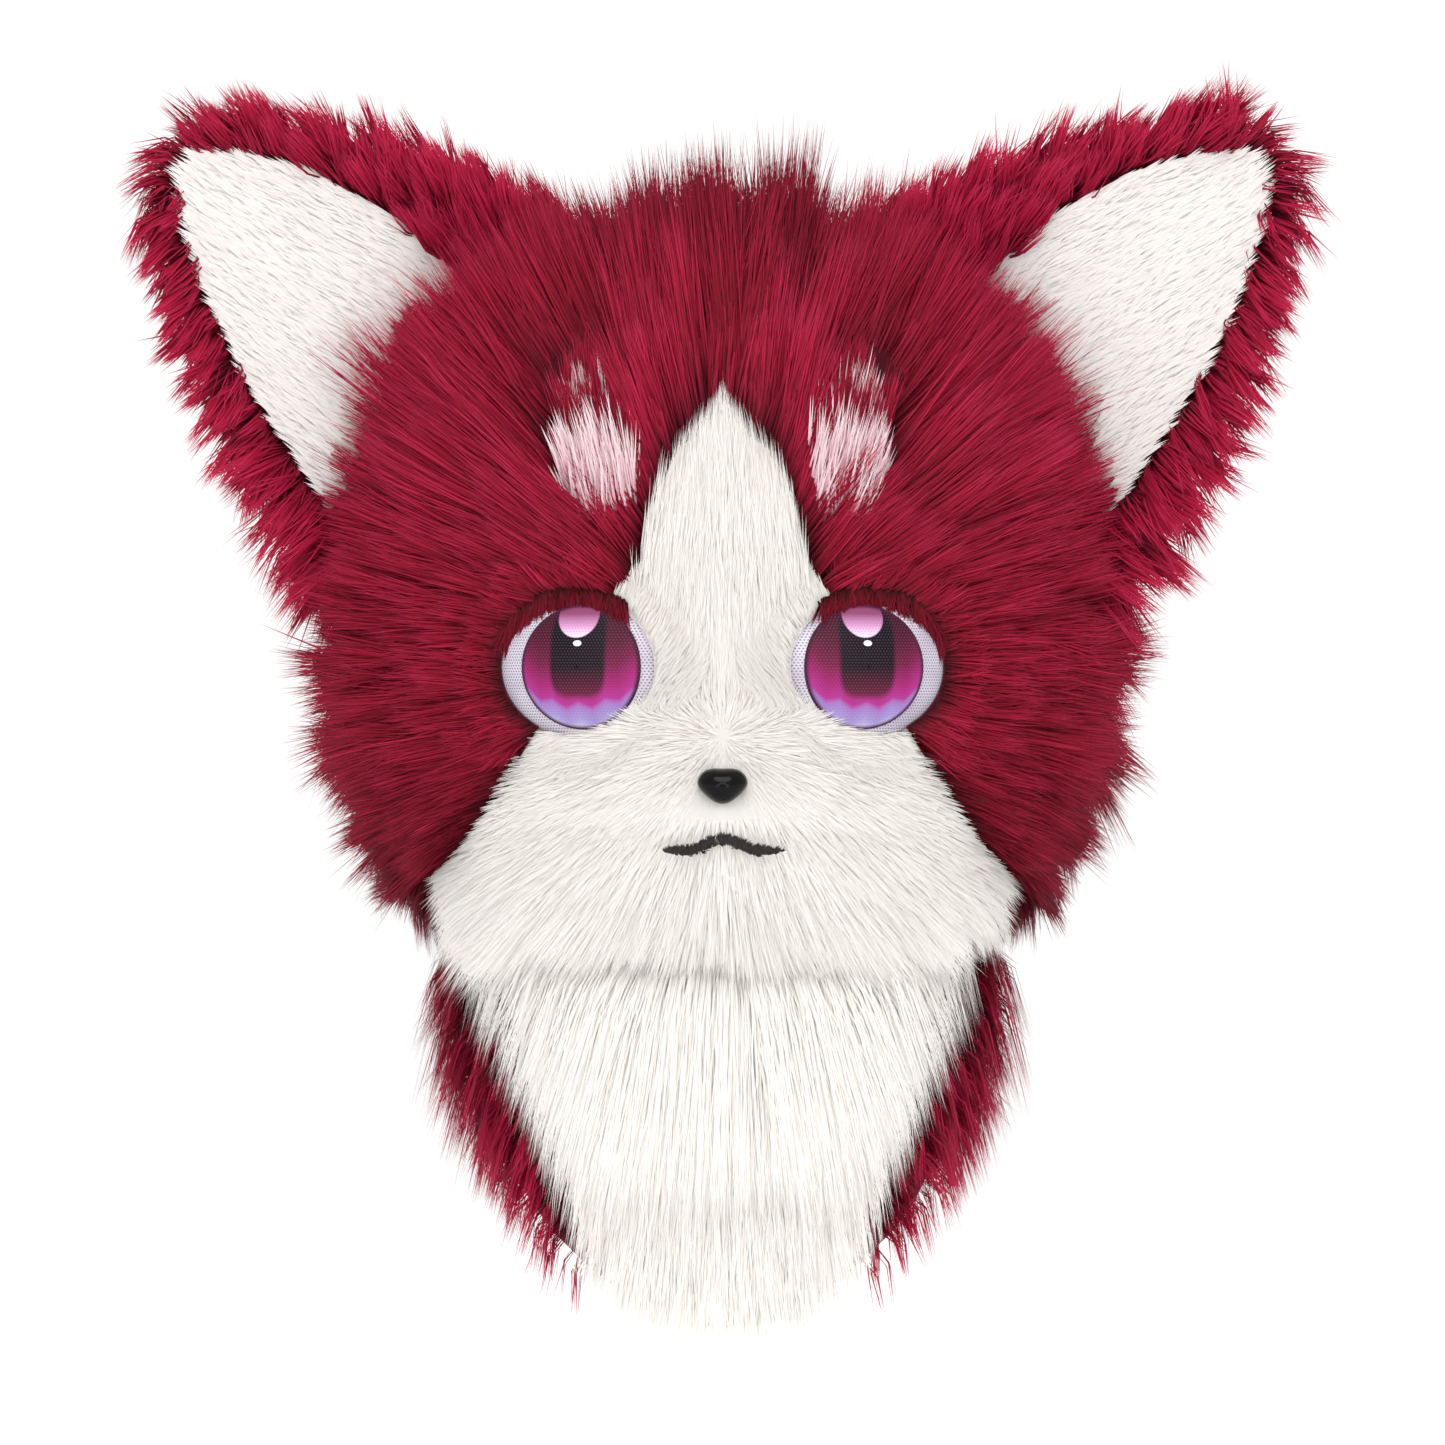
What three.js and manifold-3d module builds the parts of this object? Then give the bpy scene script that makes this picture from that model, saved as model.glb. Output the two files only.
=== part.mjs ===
// A costume animal head: a hollow foam base under long crimson and short white fur, with cupped ears,
// domed mesh eyes, a glossy nose, a stitched mouth and a furred neck sleeve with a white bib.
// Millimetres, +Z up, the face towards -Y. The origin is where the wearer's crown meets the hollow's top.
import * as THREE from "three";
import { mergeVertices } from "three/addons/utils/BufferGeometryUtils.js";
import Module from "manifold-3d";

const wasm = await Module();
wasm.setup();

// Foam base
const CROWN_WALL = 38;
const RIM_DROP = 220;
const BASE_HALF_WIDTH = 128;
const BASE_FRONT = 124;
const BASE_BACK = 132;
const BASE_WALL = 20;
const BASE_SQUARENESS = 2.25;
const CROWN_SEAM_DROP = 62;
const CLEARANCE = 0.35;

// Muzzle
const MUZZLE_REACH = 32;
const MUZZLE_DROP = 188;
const MUZZLE_HALF_WIDTH = 42;
const MUZZLE_RISE = 30;
const MUZZLE_FALL = 25;
const MUZZLE_FADE = 0.3;

// Fur depths, and where the hood's panels part
const HOOD_PILE = 34;
const HOOD_EDGE_PILE = 18;
const HOOD_RIM_PILE = 24;
const HOOD_EDGE_WIDTH = 45;
const FACE_PILE = 8;
const PATCH_PILE = 17;
const HOOD_HEM_RISE = 8;
const BACK_SEAM_DEPTH = 32;
const CHEEK_SEAM_RISE = 14;

// White face panel and the two brow patches
const FACE_TOP_DROP = 22;
const FACE_BOTTOM_DROP = 240;
const FACE_HALF_WIDTH = 118;
const FACE_SIDE_DEPTH = -8;
const PATCH_OFFSET = 46;
const PATCH_DROP = 34;
const PATCH_HALF_WIDTH = 15;
const PATCH_HALF_HEIGHT = 26;

// Eyes
const EYE_DROP = 120;
const EYE_OFFSET = 57;
const EYE_TURN = 20;
const EYE_HALF_WIDTH = 35;
const EYE_HALF_HEIGHT = 29.5;
const EYE_BULGE = 17;
const EYE_WALL = 1.4;
const EYE_SINK = 7.5;
const EYE_LIP = 2.5;
const SIGHT_HALF_WIDTH = 24;
const SIGHT_HALF_HEIGHT = 21;
const IRIS_HALF_WIDTH = 24.5;
const IRIS_HALF_HEIGHT = 24.8;
const IRIS_WALL = 0.8;
const IRIS_INWARD = 3.6;

// Nose and mouth
const NOSE_DROP = 169.5;
const NOSE_WIDTH = 21;
const NOSE_HEIGHT = 15;
const NOSE_BULGE = 8;
const NOSE_SINK = 4;
const NOSE_POST_RADIUS = 3.5;
const NOSE_PINCH = 0.42;
const NOSE_PINCH_FROM = -0.2;
const NOSE_NOTCH = 0.12;
const NOSE_NOTCH_WIDTH = 0.3;
const NOSE_FOOT = 0.96;
const NOSE_COLUMNS = 16;
const MOUTH_BELOW_NOSE = 20.3;
const MOUTH_WIDTH = 41;
const MOUTH_PEAK = 3.3;
const MOUTH_DIP_END = 0.62;
const MOUTH_LINE = 3;
const MOUTH_END_TAPER = 0.35;
const MOUTH_DEPTH = 4.6;
const MOUTH_PROUD = 0.9;
const MOUTH_SECTIONS = 16;

// Ears
const EAR_BASE_OFFSET = 100;
const EAR_BASE_RISE = -20;
const EAR_REACH = 160;
const EAR_SPREAD = 48;
const EAR_BURIED = 35;
const EAR_BASE_HALF_WIDTH = 80;
const EAR_TIP_HALF_WIDTH = 17;
const EAR_BOW = 9;
const EAR_ROUNDING = 24;
const EAR_FRONT = -24;
const EAR_CUP = 17;
const EAR_CUP_FADE = 0.35;
const EAR_SHELL = 12;
const EAR_RIM = 9;
const EAR_PLUSH = 6;
const PLUSH_START = -0.1;
const PLUSH_TIP = 0.55;

// Neck sleeve, its fur and the bib
const NECK_HALF_WIDTH = 95;
const NECK_FRONT = 92;
const NECK_BACK = 90;
const NECK_WALL = 3;
const NECK_FUR_BACK_HEM = 305;
const BIB_HEM = 384;
const NECK_TAPER = 0.16;
const NECK_PILE = 26;
const BIB_PILE = 20;
const BIB_SIDE_DEPTH = -20;
const NECK_OVERRUN = 0.2;

// Locks of fur: their length and how steeply they stand off the coat
const HOOD_LOCK = { length: 33, lift: 32 };
const EAR_LOCK = { length: 25, thick: 8, lift: 24 };
const TIP_SQUEEZE = 0.8;
const NECK_LOCK = { length: 38, lift: 28, spread: 0.5 };
const BIB_LOCK = { length: 30, lift: 12, spread: 0.12 };

// How the ear's locks sweep across it and up it, as shares of their reach.
const EAR_SWEEP = {
  lower: { across: -0.8, up: -0.45 },
  upper: { across: 0.75, up: 0.6 },
  back: -0.8,
  tip: [0.1, 0.4],
};

// Sections of the foam base from the crown down to the rim, as shares of its height, half width and depths.
const HEAD_SECTIONS = [
  { drop: 0, width: 0, front: 0, back: 0 },
  { drop: 0.008, width: 0.22, front: 0.21, back: 0.23 },
  { drop: 0.031, width: 0.43, front: 0.42, back: 0.45 },
  { drop: 0.109, width: 0.68, front: 0.66, back: 0.7 },
  { drop: 0.225, width: 0.85, front: 0.83, back: 0.87 },
  { drop: 0.38, width: 0.955, front: 0.93, back: 0.97 },
  { drop: 0.574, width: 1, front: 1, back: 1 },
  { drop: 0.729, width: 0.992, front: 1, back: 0.96 },
  { drop: 0.845, width: 0.945, front: 0.965, back: 0.89 },
  { drop: 0.942, width: 0.875, front: 0.9, back: 0.81 },
  { drop: 1, width: 0.82, front: 0.85, back: 0.77 },
];

// The white face panel's edge from its top point down, as shares of its height and half width.
const FACE_EDGE = [
  { down: 0, out: 0 },
  { down: 0.015, out: 0.09 },
  { down: 0.1, out: 0.19 },
  { down: 0.25, out: 0.27 },
  { down: 0.34, out: 0.3 },
  { down: 0.45, out: 0.48 },
  { down: 0.585, out: 0.64 },
  { down: 0.64, out: 0.69 },
  { down: 0.7, out: 0.76 },
  { down: 0.8, out: 0.9 },
  { down: 0.85, out: 1 },
  { down: 1, out: 1 },
];

// The sleeve's hem from the front (0) round to the back (1), as shares of the bib's extra length.
const HEM_SECTIONS = [
  { round: 0, drop: 1 },
  { round: 0.1, drop: 0.93 },
  { round: 0.2, drop: 0.76 },
  { round: 0.35, drop: 0.45 },
  { round: 0.5, drop: 0.16 },
  { round: 0.7, drop: 0.03 },
  { round: 1, drop: 0 },
];

// The nose's rings from its edge to the top of its bulge, as shares of its outline and its bulge.
const NOSE_PROFILE = [
  { size: 1, out: 0 },
  { size: 0.95, out: 0.4 },
  { size: 0.8, out: 0.75 },
  { size: 0.5, out: 0.95 },
  { size: 0, out: 1 },
];

// The bib's half width down the neck, as shares of the neck's half width.
const BIB_EDGE = [
  { down: 0, out: 1.12 },
  { down: 0.2, out: 0.98 },
  { down: 0.32, out: 0.88 },
  { down: 0.45, out: 0.75 },
  { down: 0.62, out: 0.63 },
  { down: 0.8, out: 0.47 },
  { down: 1, out: 0.4 },
];

// The inner ear's plush stops short of the shell's edges, by shares of the ear's half width at its base.
const PLUSH_EDGE = [
  { along: -0.2, upper: 0.53, lower: 0.18 },
  { along: 0.15, upper: 0.45, lower: 0.15 },
  { along: 0.4, upper: 0.28, lower: 0.12 },
  { along: 0.7, upper: 0.14, lower: 0.11 },
  { along: 1, upper: 0.11, lower: 0.11 },
];

// Rows between the coats' locks: down the hood as shares of the base's height, and down the neck.
const HOOD_COAT_ROWS = [0.03, 0.09, 0.17, 0.26, 0.36, 0.46, 0.56, 0.66, 0.76, 0.86];
const NECK_COAT_ROWS = [0, 0.25, 0.5, 0.75, 1];

// Where the hood's pile thins: shares of the front's depth, of the eye's size, and of the base's height.
const THIN_PILE = { front: 0.7, side: 0.2, eye: 0.9, pastEye: 2, rim: 0.8 };
const COMB_OUT = 0.6;
const COMB_DROOP = 1.5;
const COAT_SKIN = 0.6;
const COAT_VALLEY = 0.8;

const FOAM = 0xd9d4c4;
const CRIMSON = 0x8a1230;
const WHITE = 0xefece6;

const vec = (x, y, z) => new THREE.Vector3(x, y, z);
const radians = THREE.MathUtils.degToRad;
const lerp = THREE.MathUtils.lerp;
const clamp = THREE.MathUtils.clamp;
const smoothstep = THREE.MathUtils.smoothstep;
const headHeight = CROWN_WALL + RIM_DROP;
const SLOPE_STEP = 0.004;

// A column of a table of sections at a place between its rows, along a smooth curve.
function between(rows, key, place, column) {
  const last = rows.length - 1;
  let i = rows.findIndex((row) => row[key] >= place);
  i = clamp(i < 0 ? last : i, 1, last);
  const slope = (k) => {
    const a = rows[Math.max(k - 1, 0)];
    const b = rows[Math.min(k + 1, last)];
    return (b[column] - a[column]) / (b[key] - a[key]);
  };
  const [p, q] = [rows[i - 1], rows[i]];
  const span = q[key] - p[key];
  const t = clamp((place - p[key]) / span, 0, 1);
  const t2 = t * t;
  const t3 = t2 * t;
  return (
    (2 * t3 - 3 * t2 + 1) * p[column] +
    (t3 - 2 * t2 + t) * span * slope(i - 1) +
    (3 * t2 - 2 * t3) * q[column] +
    (t3 - t2) * span * slope(i)
  );
}

// Solids from lofted rings, and back to geometry

function solidFrom(points, triangles) {
  const geometry = new THREE.BufferGeometry();
  geometry.setAttribute(
    "position",
    new THREE.Float32BufferAttribute(points.flatMap((p) => [p.x, p.y, p.z]), 3),
  );
  geometry.setIndex(triangles);
  return solidOf(geometry);
}

function solidOf(geometry) {
  geometry.deleteAttribute("normal");
  geometry.deleteAttribute("uv");
  const merged = mergeVertices(geometry, 1e-3);
  const kept = [];
  const index = merged.index.array;
  for (let i = 0; i < index.length; i += 3) {
    const [a, b, c] = [index[i], index[i + 1], index[i + 2]];
    if (a !== b && b !== c && c !== a) kept.push(a, b, c);
  }
  const build = (triVerts) =>
    new wasm.Manifold(
      new wasm.Mesh({
        numProp: 3,
        vertProperties: merged.attributes.position.array,
        triVerts: new Uint32Array(triVerts),
      }),
    );
  const made = build(kept);
  if (made.volume() > 0) return made;
  for (let i = 0; i < kept.length; i += 3) [kept[i + 1], kept[i + 2]] = [kept[i + 2], kept[i + 1]];
  return build(kept);
}

// Joins rings with the same even number of points. A pole is a ring of equal points, and an open end is
// closed by strips between its ring's two halves, which are split by mirrored diagonals.
function loft(rings) {
  const n = rings[0].length;
  const triangles = [];
  const quad = (a, b, c, d, flip = false) => {
    if (flip) triangles.push(a, b, d, b, c, d);
    else triangles.push(a, b, c, a, c, d);
  };
  for (let r = 0; r < rings.length - 1; r++) {
    const here = r * n;
    const next = here + n;
    for (let i = 0; i < n; i++) {
      const j = (i + 1) % n;
      quad(here + i, here + j, next + j, next + i, i >= n / 2);
    }
  }
  const end = (rings.length - 1) * n;
  for (let i = 0; i < n / 2 - 1; i++) {
    quad(i + 1, i, n - 1 - i, n - 2 - i);
    quad(end + i, end + i + 1, end + n - 2 - i, end + n - 1 - i);
  }
  return solidFrom(rings.flat(), triangles);
}

const steps = (count, make) => Array.from({ length: count + 1 }, (_, i) => make(i / count, i));
const turns = (count, make) => Array.from({ length: count }, (_, i) => make((i / count) * 2 * Math.PI, i));

// A prism along Y of an outline in the front view, from one depth to another.
function frontPrism(outline, near, far) {
  const shape = new THREE.Shape(outline.map((p) => new THREE.Vector2(p.x, p.z)));
  const geometry = new THREE.ExtrudeGeometry(shape, { depth: far - near, bevelEnabled: false });
  geometry.rotateX(Math.PI / 2);
  geometry.translate(0, far, 0);
  return solidOf(geometry);
}

function unionOf(solids) {
  return wasm.Manifold.union(solids);
}

// A cut can leave the cut-off tip of a lock behind: the largest body is the piece.
function largest(solid) {
  return solid.decompose().sort((a, b) => b.volume() - a.volume())[0];
}

// The foam base

function headPoint(turn, drop, inset = 0) {
  const share = (column) => between(HEAD_SECTIONS, "drop", drop, column);
  const c = Math.cos(turn);
  const s = Math.sin(turn);
  const round = (value) => Math.sign(value) * Math.abs(value) ** (2 / BASE_SQUARENESS);
  const depth = c > 0 ? (BASE_FRONT - inset) * share("front") : (BASE_BACK - inset) * share("back");
  const top = inset > 0 ? 0 : CROWN_WALL;
  const across = (BASE_HALF_WIDTH - inset) * share("width");
  const p = vec(across * round(s), -depth * round(c), lerp(top, -RIM_DROP, drop));
  if (inset === 0 && c > 0) {
    const fall = p.z + MUZZLE_DROP > 0 ? MUZZLE_RISE : MUZZLE_FALL;
    const spread = (p.x / MUZZLE_HALF_WIDTH) ** 2 + ((p.z + MUZZLE_DROP) / fall) ** 2;
    p.y -= MUZZLE_REACH * Math.exp(-spread / 2) * smoothstep(c, 0, MUZZLE_FADE);
  }
  return p;
}

function headNormal(turn, drop) {
  if (drop <= SLOPE_STEP) return vec(0, 0, 1);
  const across = headPoint(turn + SLOPE_STEP, drop).sub(headPoint(turn - SLOPE_STEP, drop));
  const down = headPoint(turn, Math.min(drop + SLOPE_STEP, 1)).sub(headPoint(turn, drop - SLOPE_STEP));
  return down.cross(across).normalize();
}

const onHead = (turn, drop, depth) => headPoint(turn, drop).addScaledVector(headNormal(turn, drop), depth);

const HEAD_ROWS = [0.012, 0.05, 0.13, 0.25, 0.39, 0.53, 0.65, 0.75, 0.84, 0.92, 1];
const HOLLOW_ROWS = [0.012, 0.08, 0.22, 0.41, 0.62, 0.81, 1];
const HEAD_COLUMNS = 24;
const FACE_STEPS = 22;
const PATCH_COLUMNS = 24;
const BIB_STEPS = 14;
const POST_COLUMNS = 8;

// A dome from the crown down through rows of a surface, closed below the rim.
function dome(surface, rows) {
  const ring = (drop) => turns(HEAD_COLUMNS, (turn) => surface(turn, drop));
  const below = vec(0, 0, -RIM_DROP - BASE_WALL);
  return loft([ring(0), ...rows.map(ring), Array(HEAD_COLUMNS).fill(below)]);
}

// The space that the foam base takes, with a depth of fur over it.
const furDome = (depth) => dome((turn, drop) => onHead(turn, drop, depth), HEAD_ROWS);

// The place and heading of one eye: x across, y outwards along the view, z up, all in the eye's own frame.
function eyeFrame(side) {
  const place = pointInFront(side * EYE_OFFSET, -EYE_DROP, 0);
  const frame = new THREE.Matrix4().makeRotationZ(side * radians(EYE_TURN));
  return frame.setPosition(place);
}

// The point of the base seen from the front at x, z, raised by a depth of fur.
function pointInFront(x, z, depth) {
  const drop = (CROWN_WALL - z) / headHeight;
  let [low, high] = [0, Math.PI / 2];
  for (let i = 0; i < 30; i++) {
    const middle = (low + high) / 2;
    if (headPoint(middle, drop).x < Math.abs(x)) low = middle;
    else high = middle;
  }
  return onHead(x < 0 ? -low : low, drop, depth);
}

const EYE_COLUMNS = 16;

// An elliptic plug along the eye's line of sight, which may stand nearer to the nose than the eye's middle.
function eyePlug(side, halfWidth, halfHeight, near, far, inward = 0) {
  const frame = eyeFrame(side);
  const ring = (y) =>
    turns(EYE_COLUMNS, (a) =>
      vec(halfWidth * Math.sin(a) - side * inward, y, halfHeight * Math.cos(a)).applyMatrix4(frame),
    );
  return loft([ring(near), ring(far)]);
}

const SIDES = [-1, 1];
const BEYOND = 200;

function headBase() {
  const shell = furDome(0).subtract(dome((turn, drop) => headPoint(turn, drop, BASE_WALL), HOLLOW_ROWS));
  const holes = SIDES.flatMap((side) => [
    eyePlug(side, EYE_HALF_WIDTH + CLEARANCE, EYE_HALF_HEIGHT + CLEARANCE, -BEYOND, EYE_SINK + CLEARANCE),
    eyePlug(side, SIGHT_HALF_WIDTH, SIGHT_HALF_HEIGHT, -BEYOND, EYE_SINK + 3 * BASE_WALL),
  ]);
  return shell.subtract(unionOf([...holes, slabBelow(-RIM_DROP)]));
}

// The base is glued from a crown, a face and a back.
function foamCells() {
  const far = 2 * BEYOND;
  const top = -CROWN_SEAM_DROP;
  return {
    foam_crown: block(vec(-far, -far, top + CLEARANCE), vec(far, far, far)),
    foam_face: block(vec(-far, -far, -far), vec(far, -CLEARANCE, top)),
    foam_back: block(vec(-far, 0, -far), vec(far, far, top)),
  };
}

// Eyes: an elliptic cap of mesh, with the printed iris laid on it

function eyeSurface(side, halfWidth, halfHeight) {
  const frame = eyeFrame(side);
  return (lift) => (share) =>
    turns(EYE_COLUMNS, (angle) => {
      const x = share * halfWidth * Math.sin(angle);
      const z = share * halfHeight * Math.cos(angle);
      const rise = Math.sqrt(Math.max(0, 1 - (x / EYE_HALF_WIDTH) ** 2 - (z / EYE_HALF_HEIGHT) ** 2));
      return vec(x, EYE_SINK - EYE_BULGE * rise - lift, z).applyMatrix4(frame);
    });
}

function eyeCap(side, halfWidth, halfHeight, raise, wall, shares) {
  const ring = eyeSurface(side, halfWidth, halfHeight);
  return loft([...shares.map(ring(raise + wall)), ...shares.toReversed().map(ring(raise))]);
}

const EYE_SHARES = [0, 0.5, 0.78, 0.93, 1];

const eyeMesh = (side) => eyeCap(side, EYE_HALF_WIDTH, EYE_HALF_HEIGHT, 0, EYE_WALL, EYE_SHARES);

// The iris is cut from a layer parallel to the eye's mesh.
function iris(side) {
  const layer = eyeCap(side, EYE_HALF_WIDTH, EYE_HALF_HEIGHT, EYE_WALL + CLEARANCE, IRIS_WALL, EYE_SHARES);
  return layer.intersect(eyePlug(side, IRIS_HALF_WIDTH, IRIS_HALF_HEIGHT, -BEYOND, BASE_WALL, IRIS_INWARD));
}

// What the fur is cut by: the eye itself, and the opening that shows it.
function eyeKeepOut(side) {
  const ring = eyeSurface(side, EYE_HALF_WIDTH + CLEARANCE, EYE_HALF_HEIGHT + CLEARANCE);
  const front = EYE_SHARES.map(ring(EYE_WALL + CLEARANCE));
  const opening = eyePlug(side, EYE_HALF_WIDTH - EYE_LIP, EYE_HALF_HEIGHT - EYE_LIP, -BEYOND, BASE_WALL);
  return loft([...front, ring(-BASE_WALL)(1)]).add(opening);
}

// Nose: a rounded triangle with a domed front and a post down to the foam

function nosePlace() {
  return pointInFront(0, -NOSE_DROP, FACE_PILE);
}

function nose(grow = 0) {
  const place = nosePlace();
  const outline = (angle, share) => {
    const wide = (NOSE_WIDTH / 2 + grow) * share;
    const high = (NOSE_HEIGHT / 2 + grow) * share;
    const x = Math.sin(angle);
    const z = Math.cos(angle);
    const pinch = 1 - NOSE_PINCH * smoothstep(-z, NOSE_PINCH_FROM, 1);
    const notch = z > 0 ? NOSE_NOTCH * Math.exp(-((x / NOSE_NOTCH_WIDTH) ** 2)) : 0;
    return [wide * x * pinch, high * z * (1 - notch)];
  };
  const ring = (share, y) =>
    turns(NOSE_COLUMNS, (angle) => {
      const [x, z] = outline(angle, share);
      return vec(place.x + x, place.y + y, place.z + z);
    });
  const front = NOSE_PROFILE.map(({ size, out }) => ring(size, -out * NOSE_BULGE - (size ? 0 : grow)));
  const body = loft([ring(NOSE_FOOT, NOSE_SINK + grow), ...front]);
  const foam = pointInFront(0, -NOSE_DROP, CLEARANCE).y;
  const postRing = (y) =>
    turns(POST_COLUMNS, (a) =>
      vec((NOSE_POST_RADIUS + grow) * Math.sin(a), y, place.z + (NOSE_POST_RADIUS + grow) * Math.cos(a)),
    );
  return body.add(loft([postRing(place.y), postRing(foam - CLEARANCE)]));
}

// Mouth: a flat stitched line that dips from a central peak, let into the face fur

function mouth(grow = 0) {
  const section = (t) => {
    const x = (t - 0.5) * MOUTH_WIDTH * (1 + grow / MOUTH_WIDTH);
    const away = Math.abs(t - 0.5) * 2;
    const peak = (MOUTH_PEAK / 2) * (1 + Math.cos(Math.PI * Math.min(away / MOUTH_DIP_END, 1)));
    const z = peak - NOSE_DROP - MOUTH_BELOW_NOSE;
    const half = (MOUTH_LINE / 2) * (1 - MOUTH_END_TAPER * away ** 4) + grow;
    const at = (up, lift) => pointInFront(x, z + up, FACE_PILE + lift);
    const low = MOUTH_PROUD - MOUTH_DEPTH - grow;
    const high = MOUTH_PROUD + grow;
    return [at(-half, high), at(half, high), at(half, low), at(-half, low)];
  };
  return loft(steps(MOUTH_SECTIONS, section));
}

// The white face panel's outline in the front view

function faceOutline(grow = 0) {
  const point = (row) =>
    vec(
      row.out * FACE_HALF_WIDTH + (row.out > 0 ? grow : 0),
      0,
      -lerp(FACE_TOP_DROP, FACE_BOTTOM_DROP, row.down) + (row.down < 0.05 ? grow : 0),
    );
  const right = steps(FACE_STEPS, (t) => {
    const row = { down: t, out: Math.max(0, between(FACE_EDGE, "down", t, "out")) };
    return point(row);
  });
  const left = right.slice(1).toReversed().map((p) => vec(-p.x, 0, p.z));
  return [...right, ...left];
}

function faceHalfWidthAt(z) {
  const down = (-z - FACE_TOP_DROP) / (FACE_BOTTOM_DROP - FACE_TOP_DROP);
  return down < 0 ? -HOOD_EDGE_WIDTH : between(FACE_EDGE, "down", Math.min(down, 1), "out") * FACE_HALF_WIDTH;
}

function facePrism(grow) {
  return frontPrism(faceOutline(grow), -BEYOND, FACE_SIDE_DEPTH + grow);
}

function patchOutline(side, grow) {
  return turns(PATCH_COLUMNS, (a) =>
    vec(
      side * PATCH_OFFSET + (PATCH_HALF_WIDTH + grow) * Math.sin(a),
      0,
      -PATCH_DROP + (PATCH_HALF_HEIGHT + grow) * Math.cos(a),
    ),
  );
}

const patchPrism = (side, grow) => frontPrism(patchOutline(side, grow), -BEYOND, FACE_SIDE_DEPTH);

// A coat of fur between its first and last rows. Every second point of a middle ring is the tip of a lock,
// which leans along the comb, and the next row's locks stand between this row's. The patch gives the point,
// the normal, the pile and the comb of what the coat grows on.
function coatRings(rows, columns, patch, lock) {
  const at = (turn, row, share) => {
    const { point, normal, pile } = patch(turn, row);
    return point.addScaledVector(normal, share * pile);
  };
  const lift = radians(lock.lift);
  return rows.flatMap((row, k) => {
    const edge = turns(columns, (turn) => at(turn, row, COAT_SKIN));
    if (k === rows.length - 1) return [edge];
    const middle = (row + rows[k + 1]) / 2;
    const locks = turns(columns, (turn, i) => {
      if ((i + k) % 2) return at(turn, middle, COAT_VALLEY);
      const { normal, comb, share } = patch(turn, middle);
      const flat = comb.addScaledVector(normal, -comb.dot(normal)).normalize();
      const length = lock.length * share;
      return at(turn, middle, COAT_SKIN)
        .addScaledVector(flat, length * Math.cos(lift))
        .addScaledVector(normal, length * Math.sin(lift));
    });
    return [edge, locks];
  });
}

// Hair runs away from the bridge of the nose: out over the brow and cheeks, back along the sides, and down
// behind.
function combOnHead(p) {
  const behind = smoothstep(p.y, -BASE_FRONT / 2, BASE_BACK);
  const out = vec(p.x, 0, p.z + EYE_DROP).normalize();
  return out.multiplyScalar(COMB_OUT * (1 - behind)).add(vec(0, 1, -COMB_DROOP * behind));
}

// Depth of the crimson pile: thin round the face, deep at the sides, thinner again at the rim.
function hoodPile(turn, drop) {
  const p = headPoint(turn, drop);
  const fromFace = Math.abs(p.x) - faceHalfWidthAt(p.z);
  const nearEye = Math.hypot(
    (Math.abs(p.x) - EYE_OFFSET) / EYE_HALF_WIDTH,
    (p.z + EYE_DROP) / EYE_HALF_HEIGHT,
  );
  const inFront = 1 - smoothstep(p.y, -THIN_PILE.front * BASE_FRONT, -THIN_PILE.side * BASE_FRONT);
  const full = Math.min(
    smoothstep(fromFace, 0, HOOD_EDGE_WIDTH),
    smoothstep(nearEye, THIN_PILE.eye, THIN_PILE.pastEye),
  );
  const pile = lerp(HOOD_PILE, lerp(HOOD_EDGE_PILE, HOOD_PILE, full), inFront);
  return lerp(pile, HOOD_RIM_PILE, smoothstep(drop, THIN_PILE.rim, 1));
}

// Ears

const earAxis = (side) => vec(side * Math.sin(radians(EAR_SPREAD)), 0, Math.cos(radians(EAR_SPREAD)));
const earCross = (side) => vec(-side * Math.cos(radians(EAR_SPREAD)), 0, Math.sin(radians(EAR_SPREAD)));
const earRoot = (side) => vec(side * EAR_BASE_OFFSET, 0, EAR_BASE_RISE);

// Half width of the ear at a share of its reach: bowed edges and a rounded tip.
function earHalf(along) {
  const straight = lerp(EAR_BASE_HALF_WIDTH, EAR_TIP_HALF_WIDTH, along);
  return straight + EAR_BOW * Math.sin(Math.PI * clamp(along, 0, 1));
}

// A point of the cupped sheet: across runs from -1 at the lower edge to 1 at the upper edge.
function earPoint(side, along, across, half, depth) {
  const full = earHalf(Math.min(along, 1));
  const offset = across * half;
  const cup = EAR_CUP * (1 - Math.min((offset / full) ** 2, 1)) * (1 - EAR_CUP_FADE * clamp(along, 0, 1));
  const p = earRoot(side)
    .addScaledVector(earAxis(side), along * EAR_REACH)
    .addScaledVector(earCross(side), offset);
  p.y = EAR_FRONT + cup + depth;
  return p;
}

const EAR_STEPS = 4;
const EAR_SECTIONS = 19;
const KEEP_OUT_SECTIONS = 4;
const EAR_LOCKS_FROM = { lower: 0.14, upper: 0.4 };
const EDGE_THINNING = 0.4;
const PLUSH_SECTIONS = [0, 0.3, 0.55, 0.75, 0.88, 0.96, 1];

// A row across the ear, from the front face's lower edge round to the back's.
function earRow(side, along, lower, upper, front, back) {
  const row = (depth) =>
    steps(EAR_STEPS, (s) => earPoint(side, along, 1, lerp(-lower, upper, s), depth(s)));
  return [...row(front), ...row(back).toReversed()];
}

// How far a section near the tip is drawn in to round it.
function tipSqueeze(along, end) {
  const rounding = EAR_ROUNDING / EAR_REACH;
  const past = clamp((along - end + rounding) / rounding, 0, 1);
  return Math.sqrt(1 - TIP_SQUEEZE * past * past);
}

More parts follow.
